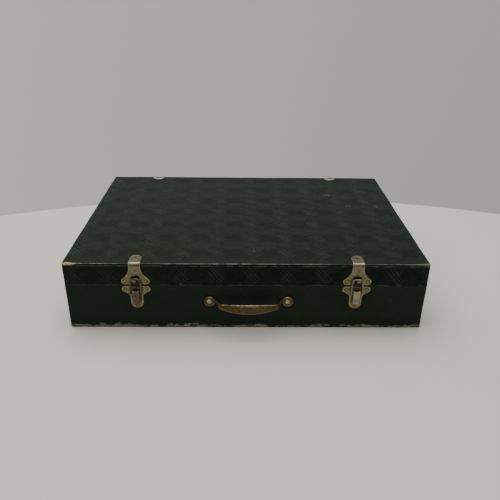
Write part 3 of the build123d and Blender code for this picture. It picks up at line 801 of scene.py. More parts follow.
def lines_between(low, high):
    """Grid lines from low to high, closer together near both ends."""
    near = np.array([0.0, 0.35, 0.8, 1.4, 2.2, 3.4])
    count = max(2, int(round((high - low - 2 * near[-1]) / GRID)))
    inner = np.linspace(low + near[-1], high - near[-1], count + 1)[1:-1]
    return np.concatenate([low + near, inner, (high - near)[::-1]])


def rounded(point, low, high, radius, open_low, open_high):
    """Point of a box's surface moved onto the same box with round edges."""
    inner_low = np.array([low[0] + radius, low[1] + radius, -1e6 if open_low else low[2] + radius])
    inner_high = np.array([high[0] - radius, high[1] - radius, 1e6 if open_high else high[2] - radius])
    core = np.clip(point, inner_low, inner_high)
    away = point - core
    length = np.linalg.norm(away)
    return core + away * (radius / length) if length > radius else point


def covering_point(point, low, high, lid):
    """Cloth point: round edges, soft unevenness, rubbed corners and ragged hems."""
    x, y, z = point
    corner = math.hypot(abs(x) - HALF_W, abs(y) - HALF_D)
    radius = EDGE_R + 0.5 * wobble(x, y, z, 23.0, 1.7)
    if lid and x < 0 and y < 0:
        radius += 2.0 * hump(corner, 9.0)
    shaped = rounded(point, low, high, radius, True, not lid)
    outward = np.array([
        x / HALF_W if abs(x) > HALF_W - 0.01 else 0.0,
        y / HALF_D if abs(y) > HALF_D - 0.01 else 0.0,
        1.0 if lid and z > TOP_Z - 0.01 else 0.0,
    ])
    swell = 0.22 * wobble(x, y, z, 55.0, 4.1) + 0.10 * wobble(x, y, z, 14.0, 8.3)
    if abs(outward[0]) > 0:
        swell += 0.35 * wobble(0, y, z, 30.0, 6.0)
    shaped = shaped + outward * (swell - 0.15)
    if lid and outward[1] < 0 and z > high[2] - LAP:
        shaped[1] -= 0.30
    hem = min(z - low[2], 1e6 if lid else high[2] - z)
    if hem < 1.5:
        share = 1 - hem / 1.5
        ragged = wobble(x, y, z, 4.0, 2.2) + 0.6 * wobble(x, y, z, 1.7, 5.2)
        shaped = shaped + outward * 0.22 * share * ragged
    if hem < 0.01:
        lift = 0.35 * abs(wobble(x, y, 0, 3.0, 9.1)) + 0.5 * max(0.0, wobble(x, y, 0, 11.0, 3.3))
        bottom = z - low[2] < 0.01
        at_seam = lid or not bottom
        shaped[2] += (lift if bottom else -lift) * (0.3 if at_seam else 1.0)
    return shaped


def covering_part(low, high, lid):
    """Points of the cloth over one half of the case, its faces with their side, and its open rims."""
    xs, ys, zs = (lines_between(a, b) for a, b in zip(low, high))
    index, outer, faces = {}, [], []

    def corner(i, j, k):
        key = (i, j, k)
        if key not in index:
            index[key] = len(outer)
            outer.append(np.array([xs[i], ys[j], zs[k]]))
        return index[key]

    def quad(side, *places):
        faces.append((side, [corner(*place) for place in places]))

    last_x, last_y, last_z = len(xs) - 1, len(ys) - 1, len(zs) - 1
    for k in range(last_z):
        up = k + 1
        for i in range(last_x):
            quad("x", (i, 0, k), (i + 1, 0, k), (i + 1, 0, up), (i, 0, up))
            quad("X", (i, last_y, k), (i, last_y, up), (i + 1, last_y, up), (i + 1, last_y, k))
        for j in range(last_y):
            quad("y", (0, j, k), (0, j, up), (0, j + 1, up), (0, j + 1, k))
            quad("Y", (last_x, j, k), (last_x, j + 1, k), (last_x, j + 1, up), (last_x, j, up))
    if lid:
        for i in range(last_x):
            for j in range(last_y):
                quad("t", (i, j, last_z), (i + 1, j, last_z), (i + 1, j + 1, last_z), (i, j + 1, last_z))
    rims = [0] if lid else [0, last_z]
    loop = [(i, 0) for i in range(last_x)] + [(last_x, j) for j in range(last_y)]
    loop += [(i, last_y) for i in range(last_x, 0, -1)] + [(0, j) for j in range(last_y, 0, -1)]
    rim_pairs = [[corner(i, j, k) for i, j in loop] for k in rims]
    return outer, faces, rim_pairs


def flat_point(side, point, top):
    """Place on the flat cloth before it was wrapped round."""
    x, y, z = point
    drop = top - z
    if side == "t":
        return x, y
    if side == "x":
        return x, -HALF_D - drop
    if side == "X":
        return -x, -HALF_D - drop
    if side == "y":
        return y, -HALF_D - drop
    return -y, -HALF_D - drop


def covering(name, node, body, lid, material):
    """Cloth covering as one closed skin with its flat map."""
    low, high = mm_box(node)
    outer, faces, rims = covering_part(low, high, lid)
    core_low = np.array([low[0] + CLOTH_T, low[1] + CLOTH_T, low[2]])
    core_high = np.array([high[0] - CLOTH_T, high[1] - CLOTH_T, high[2] - (CLOTH_T if lid else 0)])
    shown = [covering_point(p, low, high, lid) for p in outer]
    hidden = [np.clip(p, core_low, core_high) for p in outer]
    count = len(outer)
    mesh = bpy.data.meshes.new(name)
    quads = [f for _, f in faces]
    quads += [tuple(count + i for i in reversed(f)) for _, f in faces]
    for rim in rims:
        for a, b in zip(rim, rim[1:] + rim[:1]):
            quads.append((a, b, count + b, count + a))
    mesh.from_pydata([tuple(p * MM) for p in shown + hidden], [], [tuple(q) for q in quads])
    layer = mesh.uv_layers.new(name="cloth")
    for polygon, (side, corners) in zip(mesh.polygons, faces):
        for loop_index, vertex in zip(polygon.loop_indices, corners):
            u, v = flat_point(side, outer[vertex], high[2])
            layer.data[loop_index].uv = (u * MM, v * MM)
    return finished(mesh, material, body, [node], 60, weld=False)


# Stamped plates

PLATE_T = 0.8
RIM_H = 0.32
RIM_IN = 1.15
RIM_W = 0.45
WING_R = 4.2
WING_X = 11.8
HOOK_BAR_Z = 64.6
LEVER_SLACK = 0.8
ROLL_OUT, ROLL_Z, ROLL_R = 6.0, 51.2, 0.7
LEVER_WEB = (
    (6.0, 51.4), (6.35, 50.6), (6.4, 45.8), (5.7, 41.4), (5.0, 38.2), (4.9, 37.2), (5.3, 36.0), (5.7, 35.6),
)
FLANGE_FRONT = ((3.6, 38.0), (4.3, 35.6), (5.0, 36.6), (5.6, 40.8), (6.3, 45.4))


def spaced(stops, step):
    """Values through stops, at most step apart."""
    values = [stops[0]]
    for a, b in zip(stops, stops[1:]):
        count = max(1, int(math.ceil(abs(b - a) / step)))
        values.extend(a + (b - a) * (k + 1) / count for k in range(count))
    return values


def stamped_plate(path, width, length, nails, dimples=(), ends=(0.15, 0.15)):
    """Thin plate laid along a path, with a raised rim, a ring round each nail and dimples.

    path(s) gives (y, z) and the outward (y, z) at s along the plate; width(s) is its half width."""
    start, end = ends
    stations = [0.0, 0.12, 0.35, 0.7, 1.1] + spaced([1.6, length - 1.6], 0.62)
    stations += [length - 1.1, length - 0.7, length - 0.35, length - 0.12, length]
    stations[0], stations[-1] = start * 0.1, length - end * 0.1
    columns = np.sin(np.linspace(-math.pi / 2, math.pi / 2, 45))
    fine = np.linspace(stations[0], stations[-1], 500)
    half = np.array([width(s) for s in fine])
    outline = np.concatenate([np.stack([half, fine], 1), np.stack([-half, fine], 1)])
    for s in (fine[0], fine[-1]):
        across = np.linspace(-width(s), width(s), 40)
        outline = np.concatenate([outline, np.stack([across, np.full(40, s)], 1)])
    outer = np.zeros((len(stations), len(columns), 4))
    inner = outer.copy()
    for r, s in enumerate(stations):
        (y, z), (out_y, out_z) = path(s)
        w = width(s)
        for c, u in enumerate(columns):
            x = u * w
            edge = math.sqrt(np.min((outline[:, 0] - x) ** 2 + (outline[:, 1] - s) ** 2))
            height = PLATE_T * (0.45 + 0.55 * round_off(edge, 0.5)) - 0.12
            height += RIM_H * hump(edge - RIM_IN, RIM_W)
            # Bright along the plate's edge: rubbed wear and painted highlight on the rolled rim; slightly
            # darker just inside it.
            wear = hump(edge - 0.85, 0.6) - 0.25 * hump(edge - 2.3, 0.6)
            for nail_x, nail_s in nails:
                r_nail = math.hypot(x - nail_x, s - nail_s)
                height += 0.24 * hump(r_nail - 2.5, 0.5)
                height -= 0.16 * hump(r_nail, 1.9)
                wear -= 0.8 * hump(r_nail - 1.75, 0.35)
            for dimple_x, dimple_s, radius in dimples:
                r_dimple = math.hypot(x - dimple_x, s - dimple_s)
                height -= 0.45 * hump(r_dimple, radius)
                wear -= 0.7 * hump(r_dimple, radius)
            height += 0.05 * wobble(x, s, 0, 2.5, 1.1)
            height = max(height, 0.2)
            outer[r, c] = (x, y + out_y * height, z + out_z * height, wear)
            inner[r, c] = (x, y - out_y * 0.02, z - out_z * 0.02, 0.0)
    return sheet_part(outer, inner)


def over_edge(low_z, face_y, top_z, radius, reach, facing_sign):
    """Path up a face, over the top edge and along the top; returns path and length."""
    rise = top_z - radius - low_z
    bend = radius * math.pi / 2
    length = rise + bend + reach - radius

    def path(s):
        if s <= rise:
            return (face_y, low_z + s), (facing_sign, 0.0)
        if s <= rise + bend:
            angle = (s - rise) / radius
            out = (facing_sign * math.cos(angle), math.sin(angle))
            centre = (face_y - facing_sign * radius, top_z - radius)
            return (centre[0] + radius * out[0], centre[1] + radius * out[1]), out
        along = s - rise - bend
        return (face_y - facing_sign * (radius + along), top_z), (0.0, 1.0)

    return path, length


def wing_width(z, wing_z):
    """Half width of the round wing at a height, or 0 outside it."""
    off = abs(z - wing_z)
    return WING_X + math.sqrt(WING_R**2 - off**2) if off < WING_R else 0.0


def round_end(s, length, radius):
    """Share of the width left near a round end."""
    into = length - s
    return math.sqrt(max(0.0, radius**2 - (radius - into) ** 2)) / radius if into < radius else 1.0


def ribbon(path, half_width, thickness, corner=0.35):
    """Strip with rounded edges along (y, z) points; half_width and thickness may change along it."""
    loops = []
    count = len(path)
    for i, (y, z) in enumerate(path):
        y0, z0 = path[max(i - 1, 0)]
        y1, z1 = path[min(i + 1, count - 1)]
        ahead = Vector((0, y1 - y0, z1 - z0)).normalized()
        out = Vector((1, 0, 0)).cross(ahead)
        share = i / (count - 1)
        w = half_width(share)
        t = thickness / 2
        loop = []
        for sx, st, turn in ((1, 1, 0), (-1, 1, 90), (-1, -1, 180), (1, -1, 270)):
            for k in range(4):
                angle = math.radians(turn + 30 * k)
                across = sx * (w - corner) + corner * math.cos(angle)
                lift = st * (t - corner) + corner * math.sin(angle)
                loop.append(Vector((0, y, z)) + Vector((across, 0, 0)) + out * lift)
        loops.append(loop)
    return loft_part(loops)


def catch_plate(side):
    """Upper latch plate bent over the lid's edge, with its hook."""
    node = f"{side}_catch_plate"
    low, high = mm_box(node)
    x = middle_x(node)
    neck = 6.7
    low_z = low[2]
    reach = high[1] - FRONT_Y
    path, length = over_edge(low_z, FRONT_Y, TOP_Z, EDGE_R, reach, -1.0)
    wing_z = low_z + 4.1

    def width(s):
        z = low_z + s
        shoulder = wing_z + 2.7
        if z <= shoulder:
            return max(wing_width(z, wing_z), WING_X)
        fall = min(1.0, (z - shoulder) / 14.5)
        start = wing_width(shoulder, wing_z)
        body = neck + (start - neck) * (1 - fall) ** 2.3
        return body * round_end(s, length, neck)

    nails = [(-WING_X, wing_z - low_z), (WING_X, wing_z - low_z), (0.0, length - neck)]
    plate = stamped_plate(path, width, length, nails, [(0.0, 17.0, 1.3)])
    bar = HOOK_BAR_Z
    route = [(1.1, low_z), (1.35, low_z + 2), (1.35, bar - 3.2), (2.4, bar - 1.0)]
    route += [(5.0, bar - 0.8), (7.2, bar - 0.4), (7.9, bar + 0.8), (7.85, bar + 2.2)]
    route = [(FRONT_Y - out, z) for out, z in smooth_line(route, 2)]
    hook = ribbon(route, lambda t: 3.0 - 1.1 * min(1.0, t * 1.6), 1.0)
    part = moved(joined(plate, hook), x)
    piece(f"{side}_catch", part, METAL["plate_metal"], "lid", [node])


def latch_plate(side):
    """Lower latch plate with a rounded tail and two ears for the lever."""
    node = f"{side}_latch_plate"
    low, high = mm_box(node)
    x = middle_x(node)
    tail_r = 7.15
    waist = low[2] + 14.8
    wing_z = high[2] - 4.2
    length = high[2] - low[2]

    def path(s):
        return (FRONT_Y, high[2] - s), (-1.0, 0.0)

    def width(s):
        z = high[2] - s
        shoulder = wing_z - 2.7
        if z >= shoulder:
            return max(wing_width(z, wing_z), WING_X)
        if z > waist:
            rise = (z - waist) / (shoulder - waist)
            return tail_r + (wing_width(shoulder, wing_z) - tail_r) * rise**1.9
        return tail_r * round_end(s, length, tail_r)

    nails = [(-WING_X, high[2] - wing_z), (WING_X, high[2] - wing_z), (0.0, length - 3.6)]
    parts = [stamped_plate(path, width, length, nails)]
    pin_y, pin_z = pivot(f"{side}_lever_hinge")
    for near, far in ((-3.3, -2.4), (2.4, 3.3)):
        turns = np.radians(np.linspace(30, 270, 17))
        profile = [(pin_y + 1.75 * math.cos(a), pin_z + 1.75 * math.sin(a)) for a in turns]
        profile += [(FRONT_Y - 0.3, pin_z - 1.75), (FRONT_Y - 0.3, pin_z + 0.3)]
        parts.append(side_plate(profile, near, far, 0.18))
    piece(f"{side}_keep", moved(joined(*parts), x), METAL["plate_metal"], "base", [node])


def side_plate(profile, x0, x1, bevel):
    """Flat plate across X from a (y, z) outline, with its two rims bevelled."""
    centre = np.mean(np.array(profile), axis=0)
    small = []
    for y, z in profile:
        off = np.array([y, z]) - centre
        reach = np.linalg.norm(off)
        small.append(tuple(centre + off * (1 - bevel / reach)))
    loops = []
    for x, outline in ((x0, small), (x0 + bevel, profile), (x1 - bevel, profile), (x1, small)):
        loops.append([(x, y, z) for y, z in outline])
    return loft_part(loops)


def lever(side, slot):
    """Channel lever: bent web with a generic ribbed panel, and two flanges with eyes."""
    node = f"{side}_lever"
    low, high = mm_box(node)
    x = middle_x(node)
    half = (high[0] - low[0]) / 2 - LEVER_SLACK
    pin_y, pin_z = pivot(f"{side}_lever_hinge")
    _, ring_z = pivot(f"{side}_loop_hinge")
    line = smooth_line(LEVER_WEB, 3)
    high_z, low_z = line[0][1], line[-1][1]
    top_rows, low_rows = [], []
    columns = np.sin(np.linspace(-math.pi / 2, math.pi / 2, 33)) * half
    for out, z in line:
        top_row, low_row = [], []
        for c in columns:
            edge = min(half - abs(c), z - low_z + 0.05, high_z - z + 0.05)
            rounding = 0.45 * (1 - round_off(edge, 0.8))
            frame_line = 0.22 * hump(edge - 1.35, 0.30)
            rib = 0.0
            if half - abs(c) > 2.0 and 38.4 < z < 47.6:
                rib = 0.13 * (0.5 + 0.5 * math.cos(math.tau * (z + 0.35 * abs(c)) / 1.5))
            bump = frame_line + rib - rounding + 0.04 * wobble(c, z, 0, 2.0, 3.0)
            # Bright along the lever's edges: rubbed wear and painted highlight; darker between the ribs.
            wear = hump(edge - 0.6, 0.5) - 3.0 * (0.10 - rib) * (1 if rib else 0)
            top_row.append((c, FRONT_Y - out - bump, z, wear))
            low_row.append((c, FRONT_Y - out + 0.75, z + 0.02, 0.0))
        top_rows.append(top_row)
        low_rows.append(low_row)
    parts = [sheet_part(np.array(top_rows), np.array(low_rows))]
    # Rolled bar on the lever's top, all of it at full wear: a painted highlight along the top edge.
    roll_line = [(a, FRONT_Y - ROLL_OUT, ROLL_Z) for a in np.linspace(-half + 0.2, half - 0.2, 9)]
    parts.append(with_wear_and_highlight(tube_part(roll_line, lambda share: ROLL_R, 16), lambda point: 1.0))
    eye = 2.2
    outline = []
    for angle in np.linspace(-20, 200, 14):
        a = math.radians(angle)
        outline.append((pin_y - eye * math.cos(a), pin_z + eye * math.sin(a)))
    for angle in np.linspace(180, 225, 5):
        a = math.radians(angle)
        outline.append((pin_y - eye * math.cos(a), ring_z + eye * math.sin(a)))
    outline += [(FRONT_Y - out, z) for out, z in FLANGE_FRONT]
    for near, far in ((-half, -half + 0.85), (half - 0.85, half)):
        parts.append(side_plate(outline, near, far, 0.15))
    piece(f"{side}_lever_body", moved(joined(*parts), x), METAL[slot], f"{side}_lever", [node], 45)


LOOP_METAL = {"left": "loop_brown", "right": "loop_tan"}


def wire_loop(side):
    """Bent wire with in-turned feet and a slightly peaked top."""
    node = f"{side}_wire_loop"
    low, high = mm_box(node)
    x = middle_x(node)
    pin_y, foot_z = pivot(f"{side}_loop_hinge")
    radius = (high[1] - low[1]) / 2
    leg = (high[0] - low[0]) / 2 - radius
    bar = high[2] - radius
    route = [(-3.6, foot_z), (-leg + 0.5, foot_z), (-leg, foot_z + 0.6)]
    route += [(-leg, foot_z + 4), (-leg, bar - 4.4), (-leg + 0.5, bar - 2.2)]
    route += [(-leg + 2.3, bar - 0.45), (-1.6, bar), (0.0, bar)]
    full = route + [(-a, b) for a, b in reversed(route[:-1])]
    points = [(a, pin_y, b) for a, b in smooth_line(full, 3)]

    def thick(t):
        return radius * (1 + 0.04 * wobble(t * 40, 0, 0, 3.0, 2.0)) - 0.03

    part = moved(tube_part(points, thick, 16), x)
    piece(f"{side}_bail", part, METAL[LOOP_METAL[side]], f"{side}_loop", [node], 60)


# Hinges

HINGE_NAIL_X = 4.6


def hinge_leafs(side):
    """Both leaves of one hinge, with rolled knuckles."""
    lid_node, base_node = f"{side}_hinge_lid_leaf", f"{side}_hinge_base_leaf"
    low, high = mm_box(lid_node)
    base_low, base_high = mm_box(base_node)
    x = middle_x(lid_node)
    half = (high[0] - low[0]) / 2
    axis_y, axis_z = pivot("lid_hinge")
    barrel = base_high[1] - axis_y
    start = axis_z + 0.9
    path, length = over_edge(start, HALF_D, TOP_Z, EDGE_R, HALF_D - low[1], 1.0)
    narrow = 2.9

    def lid_width(s):
        wide = half if start + s > axis_z + barrel + 0.35 else narrow
        return wide * round_end(s, length, half)

    low_nails = TOP_Z - 13.5 - start
    nails = [(0.0, length - half), (-HINGE_NAIL_X, low_nails), (HINGE_NAIL_X, low_nails)]
    leaf = stamped_plate(path, lid_width, length, nails)
    mid = knuckle(-narrow, narrow, axis_y, axis_z, barrel)
    metal = METAL["hinge_metal"]
    piece(f"{side}_hinge_upper", moved(joined(leaf, mid), x), metal, "lid", [lid_node])

    base_length = axis_z - 0.9 - base_low[2]

    def base_path(s):
        return (HALF_D, axis_z - 0.9 - s), (1.0, 0.0)

    def base_width(s):
        return half * round_end(s, base_length, half)

    base_nails = [(-HINGE_NAIL_X, base_length - half), (HINGE_NAIL_X, base_length - half)]
    lower = stamped_plate(base_path, base_width, base_length, base_nails)
    ends = ((-half, -narrow - 0.3), (narrow + 0.3, half))
    outer = [knuckle(a, b, axis_y, axis_z, barrel) for a, b in ends]
    lower = moved(joined(lower, *outer), x)
    piece(f"{side}_hinge_lower", lower, metal, "base", [base_node])


def knuckle(x0, x1, axis_y, axis_z, radius):
    """Rolled barrel with softened ends and the pin's bore left open."""
    bore = 1.05
    span = x1 - x0
    profile = [(bore, 0.1), (radius - 0.2, 0.0), (radius, 0.2)]
    profile += [(radius, span - 0.2), (radius - 0.2, span), (bore, span - 0.1)]
    return ring_part(profile, facing(x0, axis_y, axis_z, (1, 0, 0)), 26)


# Nails and rivets


def nail_part(place, tilt):
    """Domed nail head with a shallow dint, and its shank."""
    lean = Matrix.Rotation(math.radians(tilt), 4, "X")
    profile = [(0, 0.62), (0.35, 0.66), (0.7, 0.72), (1.1, 0.56), (1.4, 0.25), (1.5, 0.02), (1.42, -0.05)]
    profile += [(0.7, -0.06), (0.68, -4.5), (0, -4.8)]
    return turned_part(profile, place @ lean, 20)


def cad_islands(node):
    """Clouds of points, one for each separate solid of a CAD node."""
    mesh = nodes[node].data
    work = bmesh.new()
    work.from_mesh(mesh)
    bmesh.ops.remove_doubles(work, verts=work.verts, dist=1e-6)
    work.verts.ensure_lookup_table()
    work.verts.index_update()
    parts = []
    seen = set()
    for vertex in work.verts:
        if vertex.index in seen:
            continue
        stack, island = [vertex], []
        seen.add(vertex.index)
        while stack:
            v = stack.pop()
            island.append(v.co)
            for edge in v.link_edges:
                other = edge.other_vert(v)
                if other.index not in seen:
                    seen.add(other.index)
                    stack.append(other)
        parts.append(np.array([tuple(c) for c in island]) / MM)
    work.free()
    return parts


def nails(name, node, body):
    """Detailed nails where the CAD nails are: each head faces away from its shank."""
    groups = {}
    for island in cad_islands(node):
        centre = (island.min(0) + island.max(0)) / 2
        key = tuple(np.round(centre / 3).astype(int))
        groups.setdefault(key, []).append(island)
    made = []
    for k, key in enumerate(sorted(groups)):
        cloud = np.concatenate(groups[key])
        low, high = cloud.min(0), cloud.max(0)
        size = high - low
        long_axis = int(np.argmax(size))
        out = np.zeros(3)
        if long_axis == 2:
            out[2] = 1.0
        else:
            out[1] = -1.0 if low[1] < 0 else 1.0
        tip = (low + high) / 2
        tip[long_axis] = high[long_axis] if out[long_axis] > 0 else low[long_axis]
        seat = tip - out * 0.8
        made.append(nail_part(facing(*seat, tuple(out)), 5.0 * wobble(k * 3.7, 1, 2, 1.0, 5.0)))
    piece(name, joined(*made), METAL["nail_metal"], body, [node])


# Handle


def handle():
    """Stamped bow handle: hollow grip with rolled edges, two necks and two cupped feet."""
    low, high = mm_box("handle_bow")
    x = (low[0] + high[0]) / 2
    foot_z = high[2] - 6.3
    foot_x = (high[0] - low[0]) / 2 - 6.3
    crown = FRONT_Y - low[1] - 0.6
    half = foot_x - 10.2
    route = [(foot_x, 0.85), (foot_x - 4.6, 0.85), (foot_x - 6.0, 1.6)]
    route += [(foot_x - 9.0, 9.6), (foot_x - 11.2, 12.4)]
    ring_r = 82.0
    for share in np.linspace(0.86, 0.0, 8):
        at = half * share
        route.append((at, crown - ring_r + math.sqrt(ring_r**2 - at**2)))
    line = smooth_line(route + [(-a, b) for a, b in reversed(route[:-1])], 2)
    rows = np.linspace(-1, 1, 17)
    outer = np.zeros((len(line), len(rows), 3))
    inner = outer.copy()
    low_edge, high_edge = [], []
    for i, (at, out) in enumerate(line):
        a, b = line[max(i - 1, 0)], line[min(i + 1, len(line) - 1)]
        ahead = np.array([b[0] - a[0], b[1] - a[1]])
        ahead = ahead / np.linalg.norm(ahead)
        normal = np.array([ahead[1], -ahead[0]])
        share = min(1.0, abs(at) / (half + 2.0))
        grip = max(0.0, 1 - share**2)
        top = foot_z + 1.9 + 2.2 * grip
        bottom = foot_z - 1.9 - 4.7 * grip
        bulge = 0.4 + 2.6 * grip
        for r, v in enumerate(rows):
            z = (top + bottom) / 2 + (top - bottom) / 2 * v
            sag = bulge * (v * v)
            thick = 0.9
            for grid, depth in ((outer, sag), (inner, sag + thick)):
                grid[i, r] = (at - normal[0] * depth, FRONT_Y - out + abs(normal[1]) * depth, z)
        low_edge.append(tuple((outer[i, 0] + inner[i, 0]) / 2))
        high_edge.append(tuple((outer[i, -1] + inner[i, -1]) / 2))
    low_rim = tube_part(low_edge, lambda t: 0.40 + 0.35 * math.sin(math.pi * t) ** 0.5, 12)
    high_rim = tube_part(high_edge, lambda t: 0.45 + 0.35 * math.sin(math.pi * t) ** 0.5, 12)

    def low_wear(point):
        return 0.15 + 0.4 * wobble(point.x, 0, 0, 6.0, 2.6)

    # The top rim's bright patches, strongest in the middle: rubbed wear and painted highlight where the rim
    # faces the overhead light.
    def high_rim_wear_and_highlight(point):
        return 1.1 * hump(point.x - 3, 19.0) - 0.3 + 1.7 * wobble(point.x, 0, 0, 3.2, 7.1)

    rims = [with_wear_and_highlight(low_rim, low_wear), with_wear_and_highlight(high_rim, high_rim_wear_and_highlight)]
    cup = [(0, 1.3), (2.6, 1.3), (3.4, 1.32), (4.3, 1.5), (4.9, 1.6), (4.9, 0.1), (0, 0.0)]
    ring = [(4.6, 0.2), (4.7, 1.7), (5.0, 2.15), (5.5, 2.25), (6.0, 1.8), (6.3, 0.9), (6.2, 0.1)]
    parts = [sheet_part(outer, inner)]
    for sign in (-1, 1):
        seat = facing(sign * foot_x, FRONT_Y, foot_z, (0, -1, 0))
        parts.append(turned_part(cup, seat, 40))
        rims.append(ring_part(ring, seat, 40))
    # The rims and foot rings take a much brighter metal than the grip: worn metal, and painted highlight on
    # the rolled edges.
    grip_metal, rim_metal = METAL["handle_metal"], METAL["handle_rim_metal"]
    piece("handle", moved(joined(*parts), x), grip_metal, "base", ["handle_bow"])
    piece("handle_rims", moved(joined(*rims), x), rim_metal, "base", ["handle_bow"])


def rivets():
    """Domed rivets of the handle with a clenched end inside."""
    low, high = mm_box("handle_rivets")
    z = (low[2] + high[2]) / 2
    span = (high[0] - low[0]) / 2 - 3.4
    x = (low[0] + high[0]) / 2
    head_y = FRONT_Y - 1.6
    inside = high[1] - head_y
    parts = []
    for k, sign in enumerate((-1, 1)):
        lean = Matrix.Rotation(math.radians(3 - 5 * k), 4, "X")
        place = facing(x + sign * span, head_y, z, (0, -1, 0)) @ lean
        profile = [(0, 2.05), (0.8, 1.98), (1.7, 1.66), (2.5, 1.1), (3.1, 0.4), (3.35, -0.1), (3.2, -0.32)]
        profile += [(1.6, -0.32), (1.6, -inside + 0.9), (2.5, -inside + 0.85), (2.1, -inside + 0.3)]
        profile += [(1.0, -inside), (0, -inside)]
        parts.append(turned_part(profile, place, 32))
    metal = METAL["rivet_metal"]
    piece("handle_rivet_pair", joined(*parts), metal, "base", ["handle_rivets"])


# Lid pad


PAD_SIDE = 18.0


def pad_lines(low, high, count):
    """Grid lines across the pad, closer together near its edges."""
    near = np.linspace(low, low + PAD_SIDE, 13)
    middle = np.linspace(low + PAD_SIDE, high - PAD_SIDE, count)[1:-1]
    far = np.linspace(high - PAD_SIDE, high, 13)
    return np.concatenate([near, middle, far])


def lid_pad():
    """Felt pad glued in the lid: crowned face, stitched channel and soft pulled-in sides."""
    low, high = mm_box("lid_pad")
    xs = pad_lines(low[0], high[0], 70)
    ys = pad_lines(low[1], high[1], 50)
    outer = np.zeros((len(xs), len(ys), 3))
    inner = outer.copy()
    for i, x in enumerate(xs):
        for j, y in enumerate(ys):
            edge = min(x - low[0], high[0] - x, y - low[1], high[1] - y)
            soft = 1 - round_off(edge, 7.0)
            seam = hump(edge - 12.0, 1.3)
            puff = 0.5 * wobble(x, y, 0, 34.0, 3.0) + 0.2 * wobble(x, y, 0, 11.0, 6.0)
            stitch = 0.25 * seam * (0.5 + 0.5 * math.cos(math.tau * (x + y) / 5.0))
            lift = 0.7 + 5.2 * soft + 1.3 * seam + puff * 0.5 - stitch
            pull = 0.6 * soft * (0.5 + 0.5 * wobble(x, y, 0, 20.0, 9.0))
            pull = pull if edge < 3 else 0.0
            outer[i, j] = (x + math.copysign(pull, -x), y + math.copysign(pull, -y), low[2] + lift)
            inner[i, j] = (x, y, high[2] - 0.02)
    pad = piece("lid_felt_pad", sheet_part(outer, inner), FELT, "lid", ["lid_pad"], 70)


# Stage, light and camera


WALL_GLOW = 0.40
WALL_R = 3.2
WALL_LOW, WALL_HIGH = -1.2, 2.6
WALL_SEGMENTS = 64
TABLE_R = 1.15
TABLE_T = 0.03
TABLE_AT = (0.04, -0.88, 0.0)
TABLE_SEGMENTS = 128
LAMP_COLOUR = (1.0, 0.985, 0.955)


def stage():
    """Round pale table and a backdrop that glows as a broad light, behind the case only and a little
    brighter to the left.
    """
    segments = TABLE_SEGMENTS
    verts = [(0.0, 0.0, 0.0)]
    faces = []
    for height in (0.0, -TABLE_T):
        for k in range(segments):
            a = math.tau * k / segments
            verts.append((TABLE_R * math.cos(a), TABLE_R * math.sin(a), height))
    for k in range(segments):
        j = (k + 1) % segments
        faces.append((0, 1 + k, 1 + j))
        faces.append((1 + k, 1 + segments + k, 1 + segments + j, 1 + j))
    mesh = bpy.data.meshes.new("table")
    mesh.from_pydata(verts, [], faces)
    table = bpy.data.objects.new("table", mesh)
    COLLECTION.objects.link(table)
    table.location = TABLE_AT
    mesh.materials.append(floor_material())

    shade = Shader("backdrop")
    cloud = shade.noise(900.0, 2.0, 0.5)
    colour = shade.mix(cloud, (0.10, 0.098, 0.09, 1), (0.14, 0.137, 0.13, 1))
    across, depth, _ = shade.split(shade.place())
    glow = shade.mix(cloud, (1.0, 0.965, 0.90, 1), (0.97, 0.955, 0.92, 1))
    shade.feed(shade.bsdf.inputs["Emission Color"], glow)
    # Painted light: the backdrop glows only behind the case, fading slightly from left to right.
    behind = shade.step(depth, -400.0, 1500.0)
    falling = 1.0 - across * 0.0001
    strength = behind * falling * WALL_GLOW
    shade.feed(shade.bsdf.inputs["Emission Strength"], strength + 0.02)
    material = shade.finish(colour, 0.9)
    wall = bpy.data.meshes.new("backdrop")
    rings = []
    for k in range(WALL_SEGMENTS + 1):
        a = math.tau * k / WALL_SEGMENTS
        for h in (WALL_LOW, WALL_HIGH):
            rings.append((WALL_R * math.cos(a), WALL_R * math.sin(a), h))
    walls = [(2 * k, 2 * k + 2, 2 * k + 3, 2 * k + 1) for k in range(WALL_SEGMENTS)]
    wall.from_pydata(rings, [], walls)
    wall.polygons.foreach_set("use_smooth", [True] * len(wall.polygons))
    back = bpy.data.objects.new("backdrop", wall)
    COLLECTION.objects.link(back)
    wall.materials.append(material)


def area_light(name, place, target, size, power, colour):
    """Soft square light aimed at a point."""
    data = bpy.data.lights.new(name, "AREA")
    data.shape = "SQUARE"
    data.size = size
    data.energy = power
    data.color = colour
    lamp = bpy.data.objects.new(name, data)
    COLLECTION.objects.link(lamp)
    lamp.location = place
    lamp.rotation_euler = (Vector(target) - Vector(place)).to_track_quat("-Z", "Y").to_euler()


def lights():
    """Broad overhead studio light with weak fill."""
    area_light("overhead", (-0.3, 0.22, 2.3), (0, -0.1, 0), 2.6, 75.0, LAMP_COLOUR)
    area_light("fill", (0.7, -2.3, 1.1), (0, 0, 0.05), 2.0, 8.0, LAMP_COLOUR)
    world = bpy.data.worlds.new("studio")
    bpy.context.scene.world = world
    world.use_nodes = True
    back = world.node_tree.nodes["Background"]
    back.inputs[0].default_value = (*LAMP_COLOUR, 1)
    back.inputs[1].default_value = 0.34


CAMERA_AT = (-0.0061, -0.6602, 0.3642)
CAMERA_DOWN = 26.95
CAMERA_YAW = 1.03
CAMERA_ROLL = 0.73
CAMERA_LENS = 38.76


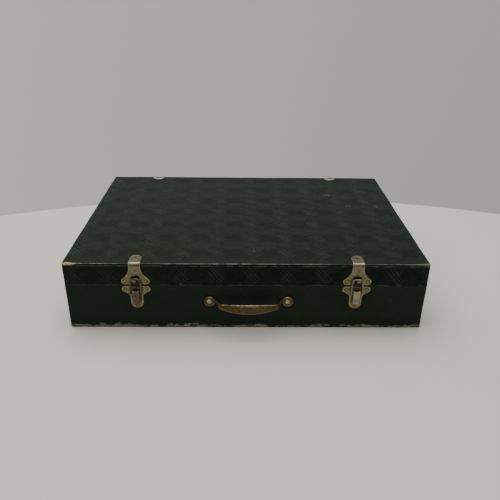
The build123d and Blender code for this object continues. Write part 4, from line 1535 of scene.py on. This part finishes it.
def camera():
    """Camera at the same angle as the object was seen from."""
    data = bpy.data.cameras.new("camera")
    data.sensor_width = 36.0
    data.lens = CAMERA_LENS
    data.clip_start = 0.01
    cam = bpy.data.objects.new("camera", data)
    COLLECTION.objects.link(cam)
    pitch, yaw, roll = (math.radians(a) for a in (CAMERA_DOWN, CAMERA_YAW, CAMERA_ROLL))
    ahead = Vector((math.sin(yaw) * math.cos(pitch), math.cos(yaw) * math.cos(pitch), -math.sin(pitch)))
    right = Vector((math.cos(yaw), -math.sin(yaw), 0))
    up = right.cross(ahead)
    right, up = right * math.cos(roll) + up * math.sin(roll), up * math.cos(roll) - right * math.sin(roll)
    turn = Matrix((right, up, -ahead)).transposed().to_4x4()
    cam.matrix_world = Matrix.Translation(CAMERA_AT) @ turn
    bpy.context.scene.camera = cam


def finish_node(name, material):
    """Better material on a CAD node whose shape is right."""
    data = nodes[name].data
    data.materials.clear()
    data.materials.append(material)


def main():
    camera()
    lights()
    stage()
    covering("lid_cloth_skin", "lid_covering", "lid", True, LID_CLOTH)
    covering("base_cloth_skin", "base_covering", "base", False, BASE_CLOTH)
    for side in ("left", "right"):
        catch_plate(side)
        latch_plate(side)
        wire_loop(side)
        hinge_leafs(side)
    lever("left", "lever_copper")
    lever("right", "lever_tan")
    nails("catch_nails", "catch_plate_nails", "lid")
    nails("keep_nails", "latch_plate_nails", "base")
    nails("hinge_upper_nails", "hinge_lid_nails", "lid")
    nails("hinge_lower_nails", "hinge_base_nails", "base")
    handle()
    rivets()
    lid_pad()
    for half in ("base", "lid"):
        for name in ("front_wall", "back_wall"):
            finish_node(f"{half}_{name}", CASE_WOOD["X"])
        for name in ("left_wall", "right_wall"):
            finish_node(f"{half}_{name}", CASE_WOOD["Y"])
    for name in ("base_bottom_panel", "lid_top_panel", "board_ledges"):
        finish_node(name, CASE_WOOD["X"])
    finish_node("mancala_board", BOARD_WOOD)
    finish_node("seeds", GLASS)
    for side in ("left", "right"):
        finish_node(f"{side}_lever_pin", METAL["nail_metal"])
        finish_node(f"{side}_hinge_pin", METAL["nail_metal"])
    finish_node("handle_washers", METAL["nail_metal"])


main()
